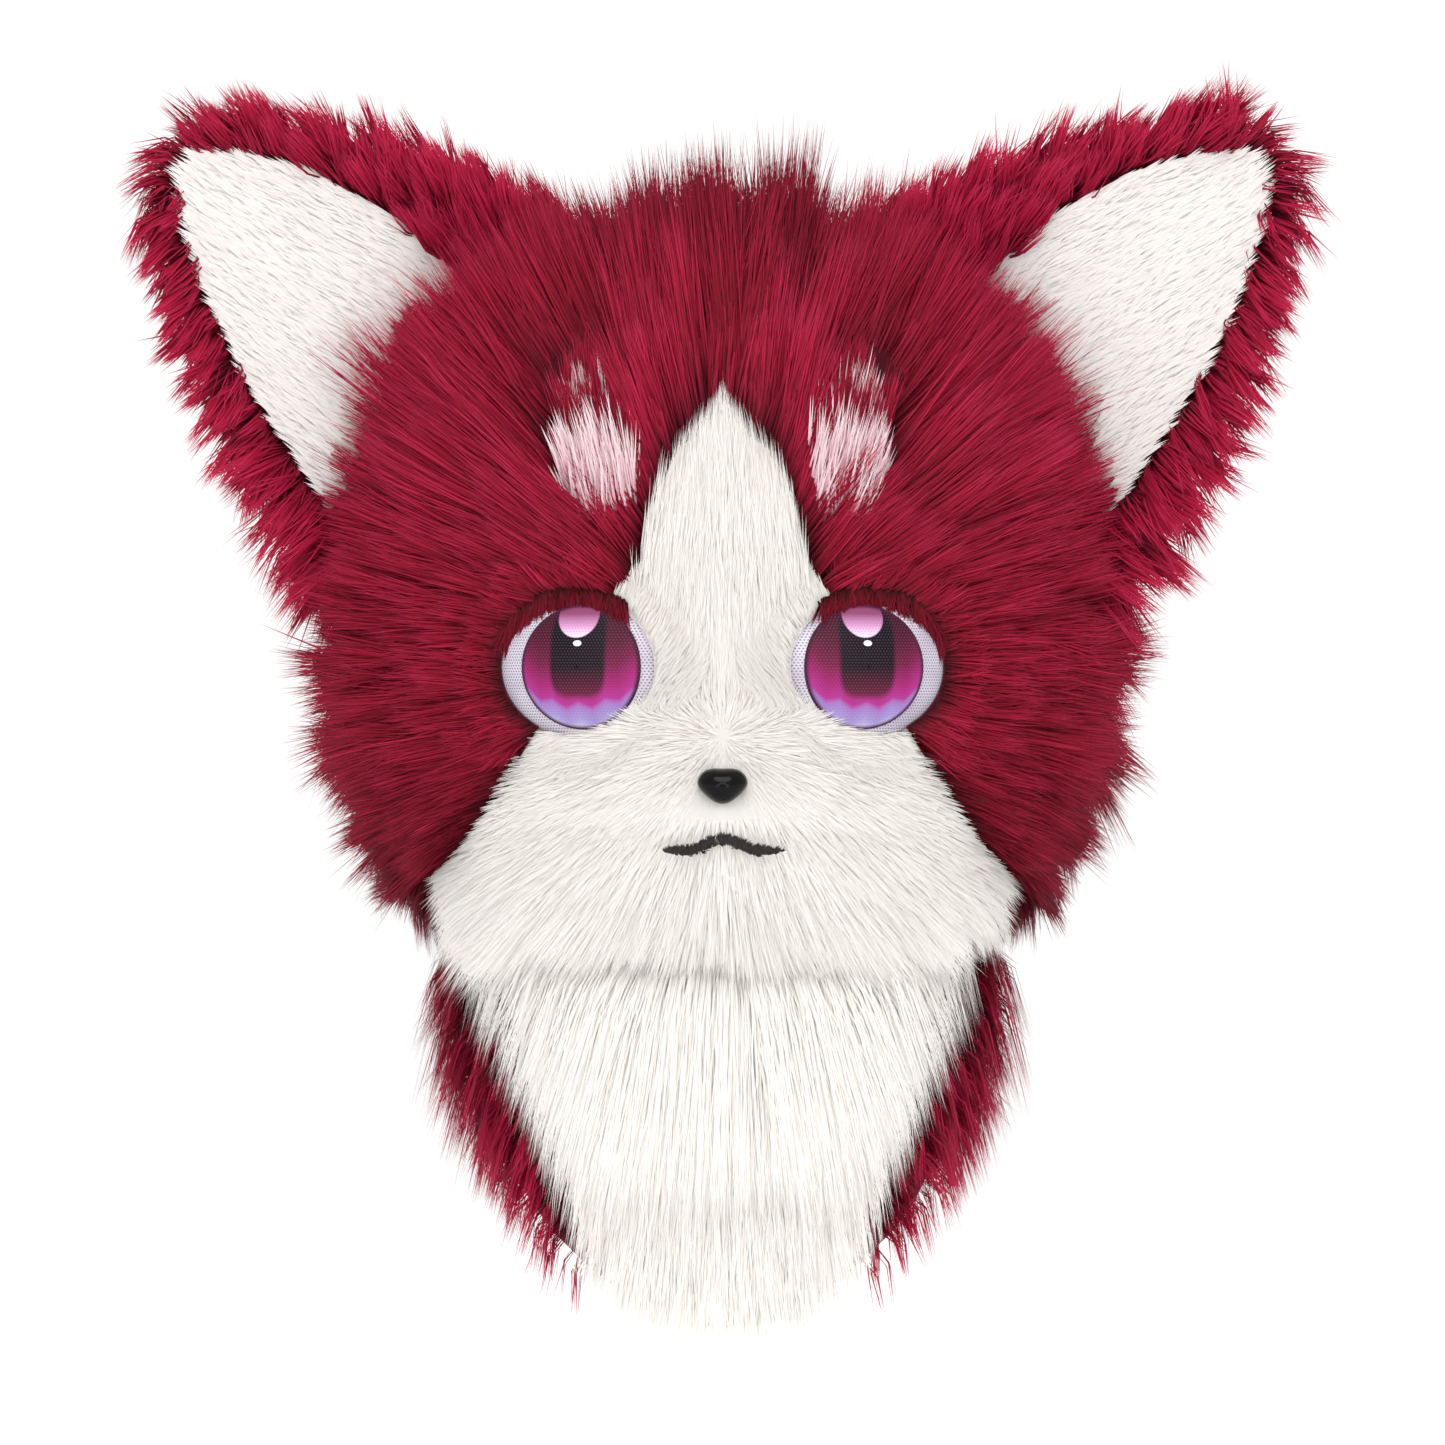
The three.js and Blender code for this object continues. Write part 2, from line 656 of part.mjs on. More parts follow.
// The furry shell. Every second section has locks at both edges, which sweep towards the tip above and away
// from it below, and more locks down the back. They start where the ear leaves the hood.
function earShell(side) {
  const reach = EAR_LOCK.length * Math.cos(radians(EAR_LOCK.lift));
  const section = (t, i) => {
    const along = lerp(-EAR_BURIED, EAR_REACH, t) / EAR_REACH;
    const half = earHalf(along) * tipSqueeze(along, 1);
    const locks = i % 2 === 1 && along < 1;
    const lower = locks && along > EAR_LOCKS_FROM.lower;
    const upper = locks && along > EAR_LOCKS_FROM.upper;
    const back = (s) => EAR_SHELL + (upper && s > 0 && s < 1 ? EAR_LOCK.thick : 0);
    const row = earRow(side, along, half, half, () => 0, back);
    const n = row.length;
    const out = (k, across, up) =>
      row[k].addScaledVector(earCross(side), across * reach).addScaledVector(earAxis(side), up * reach);
    const edgeLock = (front, rear, { across, up }) => {
      [front, rear].forEach((k) => out(k, across, up));
      row[front].y += EDGE_THINNING * EAR_SHELL;
      row[rear].y -= EDGE_THINNING * EAR_SHELL;
    };
    if (lower) edgeLock(0, n - 1, EAR_SWEEP.lower);
    if (upper) {
      edgeLock(EAR_STEPS, EAR_STEPS + 1, EAR_SWEEP.upper);
      for (let k = EAR_STEPS + 2; k < n - 1; k++) out(k, 0, EAR_SWEEP.back);
    }
    if (along >= 1) row.forEach((point, k) => out(k, 0, EAR_SWEEP.tip[Math.min(k, n - 1 - k) % 2]));
    return row;
  };
  return loft(steps(EAR_SECTIONS, section));
}

// The plain plate round shell and plush that the hood leaves free.
function earKeepOut(side) {
  const grow = 3 * CLEARANCE;
  const section = (t) => {
    const along = lerp(-EAR_BURIED - BASE_WALL, EAR_REACH, t) / EAR_REACH;
    const half = earHalf(along) + grow;
    return earRow(side, along, half, half, () => -EAR_PLUSH - grow, () => EAR_SHELL + grow);
  };
  return loft(steps(KEEP_OUT_SECTIONS, section));
}

function plushPlate(side, grow = 0) {
  const end = 1 - (PLUSH_TIP * EAR_RIM) / EAR_REACH;
  const margin = (along, edge) =>
    Math.max(EAR_RIM, EAR_BASE_HALF_WIDTH * between(PLUSH_EDGE, "along", along, edge));
  const section = (t) => {
    const along = lerp(PLUSH_START, end, t) + (t === 1 ? grow / EAR_REACH : 0);
    const half = (edge) => (earHalf(along) - margin(along, edge) + grow) * tipSqueeze(along, end);
    const [front, back] = [-EAR_PLUSH - grow, grow - CLEARANCE];
    return earRow(side, along, half("lower"), half("upper"), () => front, () => back);
  };
  return loft(PLUSH_SECTIONS.map(section));
}

// Neck sleeve and its fur

const hemDrop = (turn) =>
  lerp(
    NECK_FUR_BACK_HEM,
    BIB_HEM,
    between(HEM_SECTIONS, "round", Math.abs(Math.atan2(Math.sin(turn), Math.cos(turn))) / Math.PI, "drop"),
  );

function neckPoint(turn, down, depth) {
  const top = RIM_DROP + CLEARANCE;
  const z = -lerp(top, hemDrop(turn), down);
  const taper = 1 - NECK_TAPER * smoothstep(-z, top, BIB_HEM);
  const front = Math.cos(turn) > 0;
  const c = Math.cos(turn) * ((front ? NECK_FRONT : NECK_BACK) * (front ? 1 : taper) + depth);
  return vec(Math.sin(turn) * (NECK_HALF_WIDTH * taper + depth), -c, z);
}

const neckSpan = BIB_HEM - RIM_DROP;
const NECK_COLUMNS = 26;
const NECK_ROWS = [0, 0.5, 1];

// The sleeve's inside and outside, or the fur's inner face. It may run past both of its ends.
function neckPlug(depth, past) {
  const ring = (down) => turns(NECK_COLUMNS, (turn) => neckPoint(turn, down, depth));
  return loft([-past, ...NECK_ROWS, 1 + past].map(ring));
}

const neckSleeve = () => neckPlug(0, 0).subtract(neckPlug(-NECK_WALL, NECK_OVERRUN));

// Hair runs down the neck, and out towards the sides. Its locks are shorter where the neck is.
function neckCoat(pile, lock) {
  const patch = (turn, down) => ({
    point: neckPoint(turn, down, 0),
    normal: vec(Math.sin(turn), -Math.cos(turn), 0),
    pile,
    comb: vec(lock.spread * Math.sin(turn), 0, -1),
    share: Math.sqrt((hemDrop(turn) - RIM_DROP) / neckSpan),
  });
  const coat = loft(coatRings(NECK_COAT_ROWS, NECK_COLUMNS, patch, lock));
  return coat.subtract(neckPlug(CLEARANCE, NECK_OVERRUN));
}

// The bib's outline in the front view, from a little above the neck's top to below its hem.
const bibTop = RIM_DROP - NECK_PILE;
const bibLength = BIB_HEM + BIB_LOCK.length - bibTop;

function bibOutline(grow) {
  const point = (t) =>
    vec(between(BIB_EDGE, "down", t, "out") * NECK_HALF_WIDTH + grow, 0, -bibTop - t * bibLength);
  const right = steps(BIB_STEPS, point);
  const left = right.toReversed().map((p) => vec(-p.x, 0, p.z));
  return [...right, ...left];
}

const bibPrism = (grow) => frontPrism(bibOutline(grow), -BEYOND, BIB_SIDE_DEPTH + grow);

// The crimson coat over the whole head, before its panels are cut.
function hoodCoat() {
  const hem = (headHeight - HOOD_HEM_RISE) / headHeight;
  const patch = (turn, drop) => {
    const point = headPoint(turn, drop);
    const pile = hoodPile(turn, drop);
    const share = Math.min(pile / HOOD_PILE, 1);
    return { point, normal: headNormal(turn, drop), pile, comb: combOnHead(point), share };
  };
  const rings = coatRings([...HOOD_COAT_ROWS, hem], HEAD_COLUMNS, patch, HOOD_LOCK);
  const crown = turns(HEAD_COLUMNS, () => onHead(0, 0, COAT_SKIN * HOOD_PILE));
  const under = Array(HEAD_COLUMNS).fill(vec(0, 0, HOOD_HEM_RISE - RIM_DROP));
  return loft([crown, ...rings, under]);
}

function slabBelow(z) {
  const corners = [
    vec(-2 * BEYOND, 0, z),
    vec(2 * BEYOND, 0, z),
    vec(2 * BEYOND, 0, -4 * BEYOND),
    vec(-2 * BEYOND, 0, -4 * BEYOND),
  ];
  return frontPrism(corners, -2 * BEYOND, 2 * BEYOND);
}

function block(low, high) {
  const geometry = new THREE.BoxGeometry(high.x - low.x, high.y - low.y, high.z - low.z);
  geometry.translate((low.x + high.x) / 2, (low.y + high.y) / 2, (low.z + high.z) / 2);
  return solidOf(geometry);
}

// The hood is sewn from a back panel, two cheeks and a crown, which meet along fine seams.
function hoodCells() {
  const far = 2 * BEYOND;
  const seam = CHEEK_SEAM_RISE - EYE_DROP;
  const front = BACK_SEAM_DEPTH - CLEARANCE;
  return {
    crown_fur: block(vec(-far, -far, seam + CLEARANCE), vec(far, front, far)),
    cheek_fur_right: block(vec(-far, -far, -far), vec(0, front, seam)),
    cheek_fur_left: block(vec(0, -far, -far), vec(far, front, seam)),
    back_fur: block(vec(-far, BACK_SEAM_DEPTH, -far), vec(far, far, far)),
  };
}

function mesh(name, solid, color, roughness = 0.9) {
  const { vertProperties, triVerts, numProp } = solid.getMesh();
  const position = new Float32Array((vertProperties.length / numProp) * 3);
  for (let i = 0; i < position.length / 3; i++) {
    position.set(vertProperties.subarray(i * numProp, i * numProp + 3), i * 3);
  }
  const geometry = new THREE.BufferGeometry();
  geometry.setAttribute("position", new THREE.BufferAttribute(position, 3));
  geometry.setIndex(new THREE.BufferAttribute(triVerts, 1));
  geometry.computeVertexNormals();
  const made = new THREE.Mesh(geometry, new THREE.MeshStandardMaterial({ color, roughness, metalness: 0 }));
  made.name = name;
  return made;
}

function build() {
  const head = new THREE.Group();
  const base = headBase();
  const baseKeepOut = furDome(CLEARANCE);
  for (const [name, cell] of Object.entries(foamCells())) {
    head.add(mesh(name, base.intersect(cell), FOAM));
  }

  const eyeHoles = unionOf(SIDES.map(eyeKeepOut));
  const earsOut = unionOf(SIDES.map(earKeepOut));
  const furOver = (solid) => largest(solid.subtract(baseKeepOut));

  const faceFur = furDome(FACE_PILE)
    .intersect(facePrism(0))
    .subtract(unionOf([eyeHoles, nose(CLEARANCE), mouth(CLEARANCE), slabBelow(-RIM_DROP)]));
  head.add(mesh("face_fur", furOver(faceFur), WHITE));

  const patches = unionOf(SIDES.map((side) => patchPrism(side, CLEARANCE)));
  const coat = hoodCoat().subtract(unionOf([facePrism(CLEARANCE), patches, eyeHoles, earsOut]));
  for (const [name, cell] of Object.entries(hoodCells())) {
    head.add(mesh(name, furOver(coat.intersect(cell)), CRIMSON));
  }

  for (const side of SIDES) {
    const name = side > 0 ? "left" : "right";
    const patch = furDome(PATCH_PILE).intersect(patchPrism(side, 0));
    head.add(mesh(`brow_patch_${name}`, furOver(patch), 0xe0b8c0));
    const shell = earShell(side).subtract(plushPlate(side, CLEARANCE));
    head.add(mesh(`ear_shell_${name}`, furOver(shell), CRIMSON));
    head.add(mesh(`ear_plush_${name}`, furOver(plushPlate(side)), WHITE));
    head.add(mesh(`eye_mesh_${name}`, eyeMesh(side), 0xd8d4de, 0.7));
    head.add(mesh(`iris_${name}`, iris(side), 0x7a2050, 0.6));
  }
  head.add(mesh("nose", nose(), 0x141414, 0.15));
  head.add(mesh("mouth", mouth(), 0x1c1a1a));

  head.add(mesh("neck_sleeve", neckSleeve(), 0x5a1024));
  head.add(mesh("bib_fur", largest(neckCoat(BIB_PILE, BIB_LOCK).intersect(bibPrism(0))), WHITE));
  const neck = neckCoat(NECK_PILE, NECK_LOCK).subtract(bibPrism(CLEARANCE));
  head.add(mesh("neck_fur", largest(neck), CRIMSON));
  return head;
}

export default build();
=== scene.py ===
"""Dresses the costume head in its finished surfaces: strands of long crimson and short white fur, domed mesh
eyes with printed irises, a polished nose, a stitched mouth, foam and knitted cloth. Metres, +Z up, the face
towards -Y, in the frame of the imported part."""
import math

import bpy
import numpy as np
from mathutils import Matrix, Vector
from mathutils.bvhtree import BVHTree
from mathutils.kdtree import KDTree


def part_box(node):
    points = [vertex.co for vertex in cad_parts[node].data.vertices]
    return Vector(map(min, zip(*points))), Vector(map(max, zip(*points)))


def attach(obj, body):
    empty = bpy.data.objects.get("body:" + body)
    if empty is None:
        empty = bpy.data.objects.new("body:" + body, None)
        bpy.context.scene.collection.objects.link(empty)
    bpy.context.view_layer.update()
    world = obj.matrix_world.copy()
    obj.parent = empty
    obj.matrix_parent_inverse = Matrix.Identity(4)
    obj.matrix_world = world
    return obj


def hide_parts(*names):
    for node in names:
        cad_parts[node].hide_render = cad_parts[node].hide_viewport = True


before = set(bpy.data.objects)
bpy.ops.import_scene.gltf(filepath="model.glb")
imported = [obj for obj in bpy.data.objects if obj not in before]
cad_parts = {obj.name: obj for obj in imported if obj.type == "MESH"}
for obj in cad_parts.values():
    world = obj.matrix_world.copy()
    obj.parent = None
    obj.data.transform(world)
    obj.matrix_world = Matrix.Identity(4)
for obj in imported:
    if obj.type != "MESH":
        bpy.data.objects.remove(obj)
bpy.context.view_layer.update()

SEED = 20
SIDES = {"left": 1, "right": -1}
FOAM = ("foam_crown", "foam_face", "foam_back")

# Sizes of the head that its looks follow
FRONT = 0.124
BACK = 0.132
EYE_HEIGHT = -0.12
EYE_TURN = math.radians(20)
EYE_HALF_WIDTH = 0.035
EYE_HALF_HEIGHT = 0.0295
EYE_BULGE = 0.017
EYE_WALL = 0.0014
IRIS_HALF_WIDTH = 0.0245
IRIS_HALF_HEIGHT = 0.0248
IRIS_INWARD = 0.0036
IRIS_GAP = 0.0003
IRIS_WALL = 0.0008
DOME_RINGS = 24
DOME_COLUMNS = 72
MESH_PITCH = 0.0013
EAR_SPREAD = math.radians(48)
EAR_ROOT = np.array((0.1, -0.024, -0.02))
EAR_REACH = 0.16
NECK_TOP = -0.22

# The stage: its floor and backdrop, the camera, and each light with its place, size and power
FLOOR = -0.46
FLOOR_REACH = 10
BEND = 8
BEND_RADIUS = 1.2
WALL = 8
CAMERA = (0, -6.02, -0.142)
LENS = 370
LIGHTS = (
    ("key", (0, -1.9, 1.3), 1.8, 30),
    ("fill", (0, -2.2, -0.5), 1.2, 16),
    ("back", (0, 1.6, 1.6), 1.6, 14),
)

# How far away a surface is looked for, and over how many points a depth is evened out
BACKING_REACH = 0.0014
SKIN_GAP = 0.001
DEPTH_LIMIT = 0.12
EVEN_OUT = 10
LEAST_DEPTH = 0.002
LID_START = 0.08
CUP_REACH = 0.0012
BURIED_REACH = 0.02
PLUSH_LIMIT = 0.016


def srgb(red, green, blue):
    """A colour of the display as linear light."""
    channels = np.array((red, green, blue)) / 255
    linear = np.where(channels <= 0.04045, channels / 12.92, ((channels + 0.055) / 1.055) ** 2.4)
    return (*linear, 1.0)


# Arithmetic on arrays of points

def unit(vectors):
    return vectors / np.maximum(np.linalg.norm(vectors, axis=-1, keepdims=True), 1e-9)


def dot(a, b):
    return np.sum(a * b, axis=-1, keepdims=True)


def smoothstep(values, low, high):
    t = np.clip((values - low) / (high - low), 0, 1)
    return t * t * (3 - 2 * t)


def point_tree(points):
    tree = KDTree(len(points))
    for i, point in enumerate(points):
        tree.insert(point, i)
    tree.balance()
    return tree


def nearest(points, queries):
    """The index of the point that is nearest to each query."""
    tree = point_tree(points)
    return np.array([tree.find(query)[1] for query in queries])


# Meshes from arrays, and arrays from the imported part's meshes

def mesh_object(name, points, faces, attributes, material):
    """An object of triangles with named numbers on its points."""
    mesh = bpy.data.meshes.new(name)
    mesh.vertices.add(len(points))
    mesh.vertices.foreach_set("co", np.asarray(points, dtype=np.float32).ravel())
    mesh.loops.add(faces.size)
    mesh.loops.foreach_set("vertex_index", faces.astype(np.int32).ravel())
    mesh.polygons.add(len(faces))
    mesh.polygons.foreach_set("loop_start", np.arange(0, faces.size, 3, dtype=np.int32))
    mesh.polygons.foreach_set("use_smooth", np.full(len(faces), True))
    for key, values in attributes:
        mesh.attributes.new(key, "FLOAT", "POINT").data.foreach_set("value", values.astype(np.float32))
    mesh.update(calc_edges=True)
    made = bpy.data.objects.new(name, mesh)
    bpy.context.collection.objects.link(made)
    mesh.materials.append(material)
    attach(made, "root")
    return made


def ring_faces(rings, columns):
    """The triangles between rings of points that follow one another, each closed on itself."""
    faces = []
    for ring in range(rings - 1):
        for column in range(columns):
            a, b = ring * columns + column, ring * columns + (column + 1) % columns
            faces.extend(((a, b, b + columns), (a, b + columns, a + columns)))
    return np.array(faces)


def node_mesh(node):
    """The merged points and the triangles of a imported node."""
    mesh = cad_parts[node].data
    mesh.calc_loop_triangles()
    points = np.empty(len(mesh.vertices) * 3, dtype=np.float32)
    mesh.vertices.foreach_get("co", points)
    faces = np.empty(len(mesh.loop_triangles) * 3, dtype=np.int32)
    mesh.loop_triangles.foreach_get("vertices", faces)
    points, index = np.unique(np.round(points.reshape(-1, 3).astype(float), 6), axis=0, return_inverse=True)
    return points, index.reshape(-1)[faces].reshape(-1, 3)


def surface_tree(*nodes):
    """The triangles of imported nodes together, for the nearest of them or the first along a line."""
    points = []
    faces = []
    for node in nodes:
        own, triangles = node_mesh(node)
        faces.extend((triangles + len(points)).tolist())
        points.extend(own.tolist())
    return BVHTree.FromPolygons(points, faces)


class Patch:
    """A piece of surface that fur grows on, with smooth normals."""

    def __init__(self, points, faces, flip=False):
        used, index = np.unique(faces, return_inverse=True)
        self.points = points[used]
        self.faces = index.reshape(-1, 3)
        if flip:
            self.faces = self.faces[:, ::-1]
        corners = self.points[self.faces]
        cross = np.cross(corners[:, 1] - corners[:, 0], corners[:, 2] - corners[:, 0])
        self.areas = np.linalg.norm(cross, axis=1) / 2
        normals = np.zeros_like(self.points)
        for corner in range(3):
            np.add.at(normals, self.faces[:, corner], cross)
        self.normals = unit(normals)
        edges = np.sort(self.faces[:, [[0, 1], [1, 2], [2, 0]]].reshape(-1, 2), axis=1)
        edges, uses = np.unique(edges, axis=0, return_counts=True)
        self.inner = np.ones(len(self.points))
        self.inner[edges[uses == 1].ravel()] = 0

    def sample(self, count, rng, keep=None):
        """Random places all over the patch, or where keep says, and the normals there."""
        points, normals = self.scatter(count if keep is None else 2 * count, rng)
        if keep is None:
            return points, normals
        kept = np.flatnonzero(keep(points))[:count]
        return points[kept], normals[kept]

    def scatter(self, count, rng):
        """Random places all over the patch, as close together everywhere, and the normals there."""
        face = rng.choice(len(self.faces), count, p=self.areas / self.areas.sum())
        a, b = rng.random((2, count, 1))
        over = a + b > 1
        a, b = np.where(over, 1 - a, a), np.where(over, 1 - b, b)
        weights = (1 - a - b, a, b)
        corners = self.faces[face]
        points = sum(w * self.points[corners[:, i]] for i, w in enumerate(weights))
        normals = sum(w * self.normals[corners[:, i]] for i, w in enumerate(weights))
        return points, unit(normals)


def face_places(points, faces):
    """The centres of triangles, and their normals."""
    corners = points[faces]
    return corners.mean(axis=1), unit(np.cross(corners[:, 1] - corners[:, 0], corners[:, 2] - corners[:, 0]))


def backing(node, support):
    """The side of a fur node that lies against what it grows on, turned outwards."""
    points, faces = node_mesh(node)
    centres, normals = face_places(points, faces)
    kept = []
    for i, (centre, normal) in enumerate(zip(centres, normals)):
        _, facing, _, distance = support.find_nearest(centre)
        if distance < BACKING_REACH and facing.dot(Vector(normal)) < -0.5:
            kept.append(i)
    return Patch(points, faces[kept], flip=True)


def coat_depth(node, points, normals):
    """How thick a fur node is over each point, evened out between neighbours."""
    coat = surface_tree(node)
    depth = np.zeros(len(points))
    for i, (point, normal) in enumerate(zip(points, normals)):
        hit = coat.ray_cast(Vector(point + normal * SKIN_GAP), Vector(normal), DEPTH_LIMIT)
        depth[i] = hit[3] + SKIN_GAP if hit[0] else 0.0
    tree = point_tree(points)
    near = [[j for _, j, _ in tree.find_n(point, EVEN_OUT)] for point in points]
    return depth[np.array(near)].mean(axis=1)


# Strands of fur: each is a ribbon of two pairs of points and a tip

STRAND_POINTS = 5
STATIONS = np.array((0, 0.48, 1))
WIDTHS = np.array((0.8, 1))
RISE_POWER = 1.8
RUN_POWER = 1.4
GATHER_POWER = 1.3
GATHER_RANGE = (0.5, 1.1)
WIDTH_RANGE = (0.6, 1.35)
OWN_TURN = 0.7
BRIGHTER = 0.3
# The soft layer under the strands is shaded a little darker than the strands: painted shade deep in the pile.
UNDER_SHADE = 0.45


def strand_curves(roots, normals, comb, height, reach, sway):
    """The places of a strand's stations: up off the skin, then over along the comb."""
    flat = unit(comb - normals * dot(comb, normals))
    aside = np.cross(flat, normals)
    t = STATIONS[None, :, None]
    rise = 1 - (1 - t) ** RISE_POWER
    run = t ** RUN_POWER
    return (
        roots[:, None]
        + normals[:, None] * height[:, None, None] * rise
        + flat[:, None] * reach[:, None, None] * run
        + aside[:, None] * sway[:, None, None] * t ** 2
    )


def ribbons(curves, normals, width, roll):
    """Tapered ribbons along the curves, as points and triangles: three for each strand."""
    tangents = unit(np.gradient(curves, axis=1))
    aside = unit(np.cross(tangents, normals[:, None]))
    up = np.cross(aside, tangents)
    across = aside * np.cos(roll)[:, None, None] + up * np.sin(roll)[:, None, None]
    half = across[:, :2] * (width[:, None] * WIDTHS / 2)[:, :, None]
    pairs = np.stack((curves[:, :2] - half, curves[:, :2] + half), axis=2).reshape(len(curves), 4, 3)
    points = np.concatenate((pairs, curves[:, 2:]), axis=1)
    pattern = np.array(((0, 1, 3), (0, 3, 2), (2, 3, 4)))
    faces = (np.arange(len(curves)) * STRAND_POINTS)[:, None, None] + pattern
    along = np.tile(STATIONS[[0, 0, 1, 1, 2]], len(curves))
    return points.reshape(-1, 3), faces.reshape(-1, 3), along


def fur(name, patch, comb, depth, look, material, nodes, strands, seed, tone=None, shape=None,
        keep=None, within=None):
    """One coat of fur on a patch: its strands gather in locks, over a soft layer that closes the gaps.
    look gives the length and width of the strands, how they lean, and how far the locks gather. shape gives
    what share of that height and reach they have at a place, tone how much lighter or darker they are there,
    which is partly the fur's own colour and partly painted light and shade, keep where they grow, and within
    how far from the middle plane their tips stand at a height."""
    rng = np.random.default_rng(SEED + seed)
    roots, normals = patch.sample(strands, rng, keep)
    strands = len(roots)
    locks = max(1, int(strands / look["per_lock"]))
    lock_roots, lock_normals = patch.sample(locks, rng)
    lock_depth = depth(lock_roots, lock_normals)
    owner = nearest(lock_roots, roots)

    lock_scale = rng.uniform(1 - look["uneven"], 1 + look["uneven"], locks)
    lock_turn = rng.normal(0, look["stray"], locks)
    lock_tone = rng.normal(0, 1, locks)

    def curves_of(points, facing, thick, scale, turn):
        direction = comb(points)
        flat = unit(direction - facing * dot(direction, facing))
        aside = np.cross(flat, facing)
        turned = flat * np.cos(turn)[:, None] + aside * np.sin(turn)[:, None]
        sway = rng.normal(0, look["sway"], len(points)) * thick * look["reach"]
        high, far = shape(points) if shape else (1, 1)
        height = thick * look["height"] * scale * high
        reach = thick * look["reach"] * scale * far
        return strand_curves(points, facing, turned, height, reach, sway)

    middle = curves_of(lock_roots, lock_normals, lock_depth, lock_scale, lock_turn)
    scale = lock_scale[owner] * rng.uniform(1 - look["ragged"], 1 + look["ragged"] / 2, strands)
    turn = lock_turn[owner] + rng.normal(0, look["stray"] * OWN_TURN, strands)
    own = curves_of(roots, normals, lock_depth[owner], scale, turn)
    held = STATIONS[None, :, None] ** GATHER_POWER
    gather = look["gather"] * rng.uniform(*GATHER_RANGE, (strands, 1, 1)) * held
    loose = rng.random((strands, 1, 1)) < look["flyaway"]
    gather = np.clip(np.where(loose, 0, gather), 0, 1)
    curves = own + (middle[owner] - own) * gather

    if within:
        tips = curves[:, -1]
        grown = np.abs(tips[:, 0]) < within(tips[:, 2]) * rng.uniform(*look["feather"], strands)
        curves, normals, owner, roots = curves[grown], normals[grown], owner[grown], roots[grown]
        strands = len(roots)

    width = look["width"] * rng.uniform(*WIDTH_RANGE, strands)
    points, faces, along = ribbons(curves, normals, width, rng.normal(0, look["roll"], strands))
    shade = 0.5 + look["lock_contrast"] * lock_tone[owner] + look["contrast"] * rng.normal(0, 1, strands)
    shade = shade + np.where(rng.random(strands) < look["bright_hairs"], BRIGHTER, 0)
    if tone:
        shade = shade + tone(roots)
    shade = np.repeat(shade, STRAND_POINTS)

    # The soft layer closes the gaps. Its colour is taken at under_along on the roots-to-tips ramp and a
    # little darker than the strands, so on the crimson coats it is a dark sheet of painted shade deep in the
    # pile.
    if look["under"] is not None:
        rise = depth(patch.points, patch.normals) * look["under"] * patch.inner
        under = patch.points + patch.normals * rise[:, None]
        faces = np.concatenate((faces, patch.faces + len(points)))
        points = np.concatenate((points, under))
        along = np.concatenate((along, np.full(len(under), look["under_along"])))
        under_shade = np.full(len(under), UNDER_SHADE)
        if tone:
            under_shade = under_shade + tone(patch.points)
        shade = np.concatenate((shade, under_shade))

    made = mesh_object(name, points, faces, (("along", along), ("shade", shade)), material)
    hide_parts(*nodes)


# Materials

def new_material(name):
    material = bpy.data.materials.new(name)
    material.use_nodes = True
    tree = material.node_tree
    shader = tree.nodes["Principled BSDF"]
    return material, tree, shader


def ramp(tree, source, stops, mode="LINEAR"):
    node = tree.nodes.new("ShaderNodeValToRGB")
    node.color_ramp.interpolation = mode
    elements = node.color_ramp.elements
    while len(elements) < len(stops):
        elements.new(0.5)
    for element, (place, colour) in zip(elements, stops):
        element.position = place
        element.color = colour
    tree.links.new(source, node.inputs[0])
    return node.outputs[0]


def attribute(tree, name):
    node = tree.nodes.new("ShaderNodeAttribute")
    node.attribute_name = name
    return node.outputs["Fac"]


def math_node(tree, operation, a, b=None, c=None, clamp=False):
    node = tree.nodes.new("ShaderNodeMath")
    node.operation = operation
    node.use_clamp = clamp
    for socket, value in zip(node.inputs, (a, b, c)):
        if value is None:
            continue
        if isinstance(value, (int, float)):
            socket.default_value = value
        else:
            tree.links.new(value, socket)
    return node.outputs[0]


def mix_colours(tree, blend, factor, a, b):
    node = tree.nodes.new("ShaderNodeMix")
    node.data_type = "RGBA"
    node.blend_type = blend
    for socket, value in ((node.inputs[0], factor), (node.inputs[6], a), (node.inputs[7], b)):
        if isinstance(value, (int, float, tuple)):
            socket.default_value = value
        else:
            tree.links.new(value, socket)
    return node.outputs[2]


def object_place(tree):
    return tree.nodes.new("ShaderNodeTexCoord").outputs["Object"]


def noise(tree, scale, detail=3, roughness=0.5, place=None):
    node = tree.nodes.new("ShaderNodeTexNoise")
    node.inputs["Scale"].default_value = scale
    node.inputs["Detail"].default_value = detail
    node.inputs["Roughness"].default_value = roughness
    tree.links.new(place or object_place(tree), node.inputs["Vector"])
    return node.outputs["Fac"]


def bump(tree, shader, height, strength, distance):
    node = tree.nodes.new("ShaderNodeBump")
    node.inputs["Strength"].default_value = strength
    node.inputs["Distance"].default_value = distance
    tree.links.new(height, node.inputs["Height"])
    tree.links.new(node.outputs["Normal"], shader.inputs["Normal"])


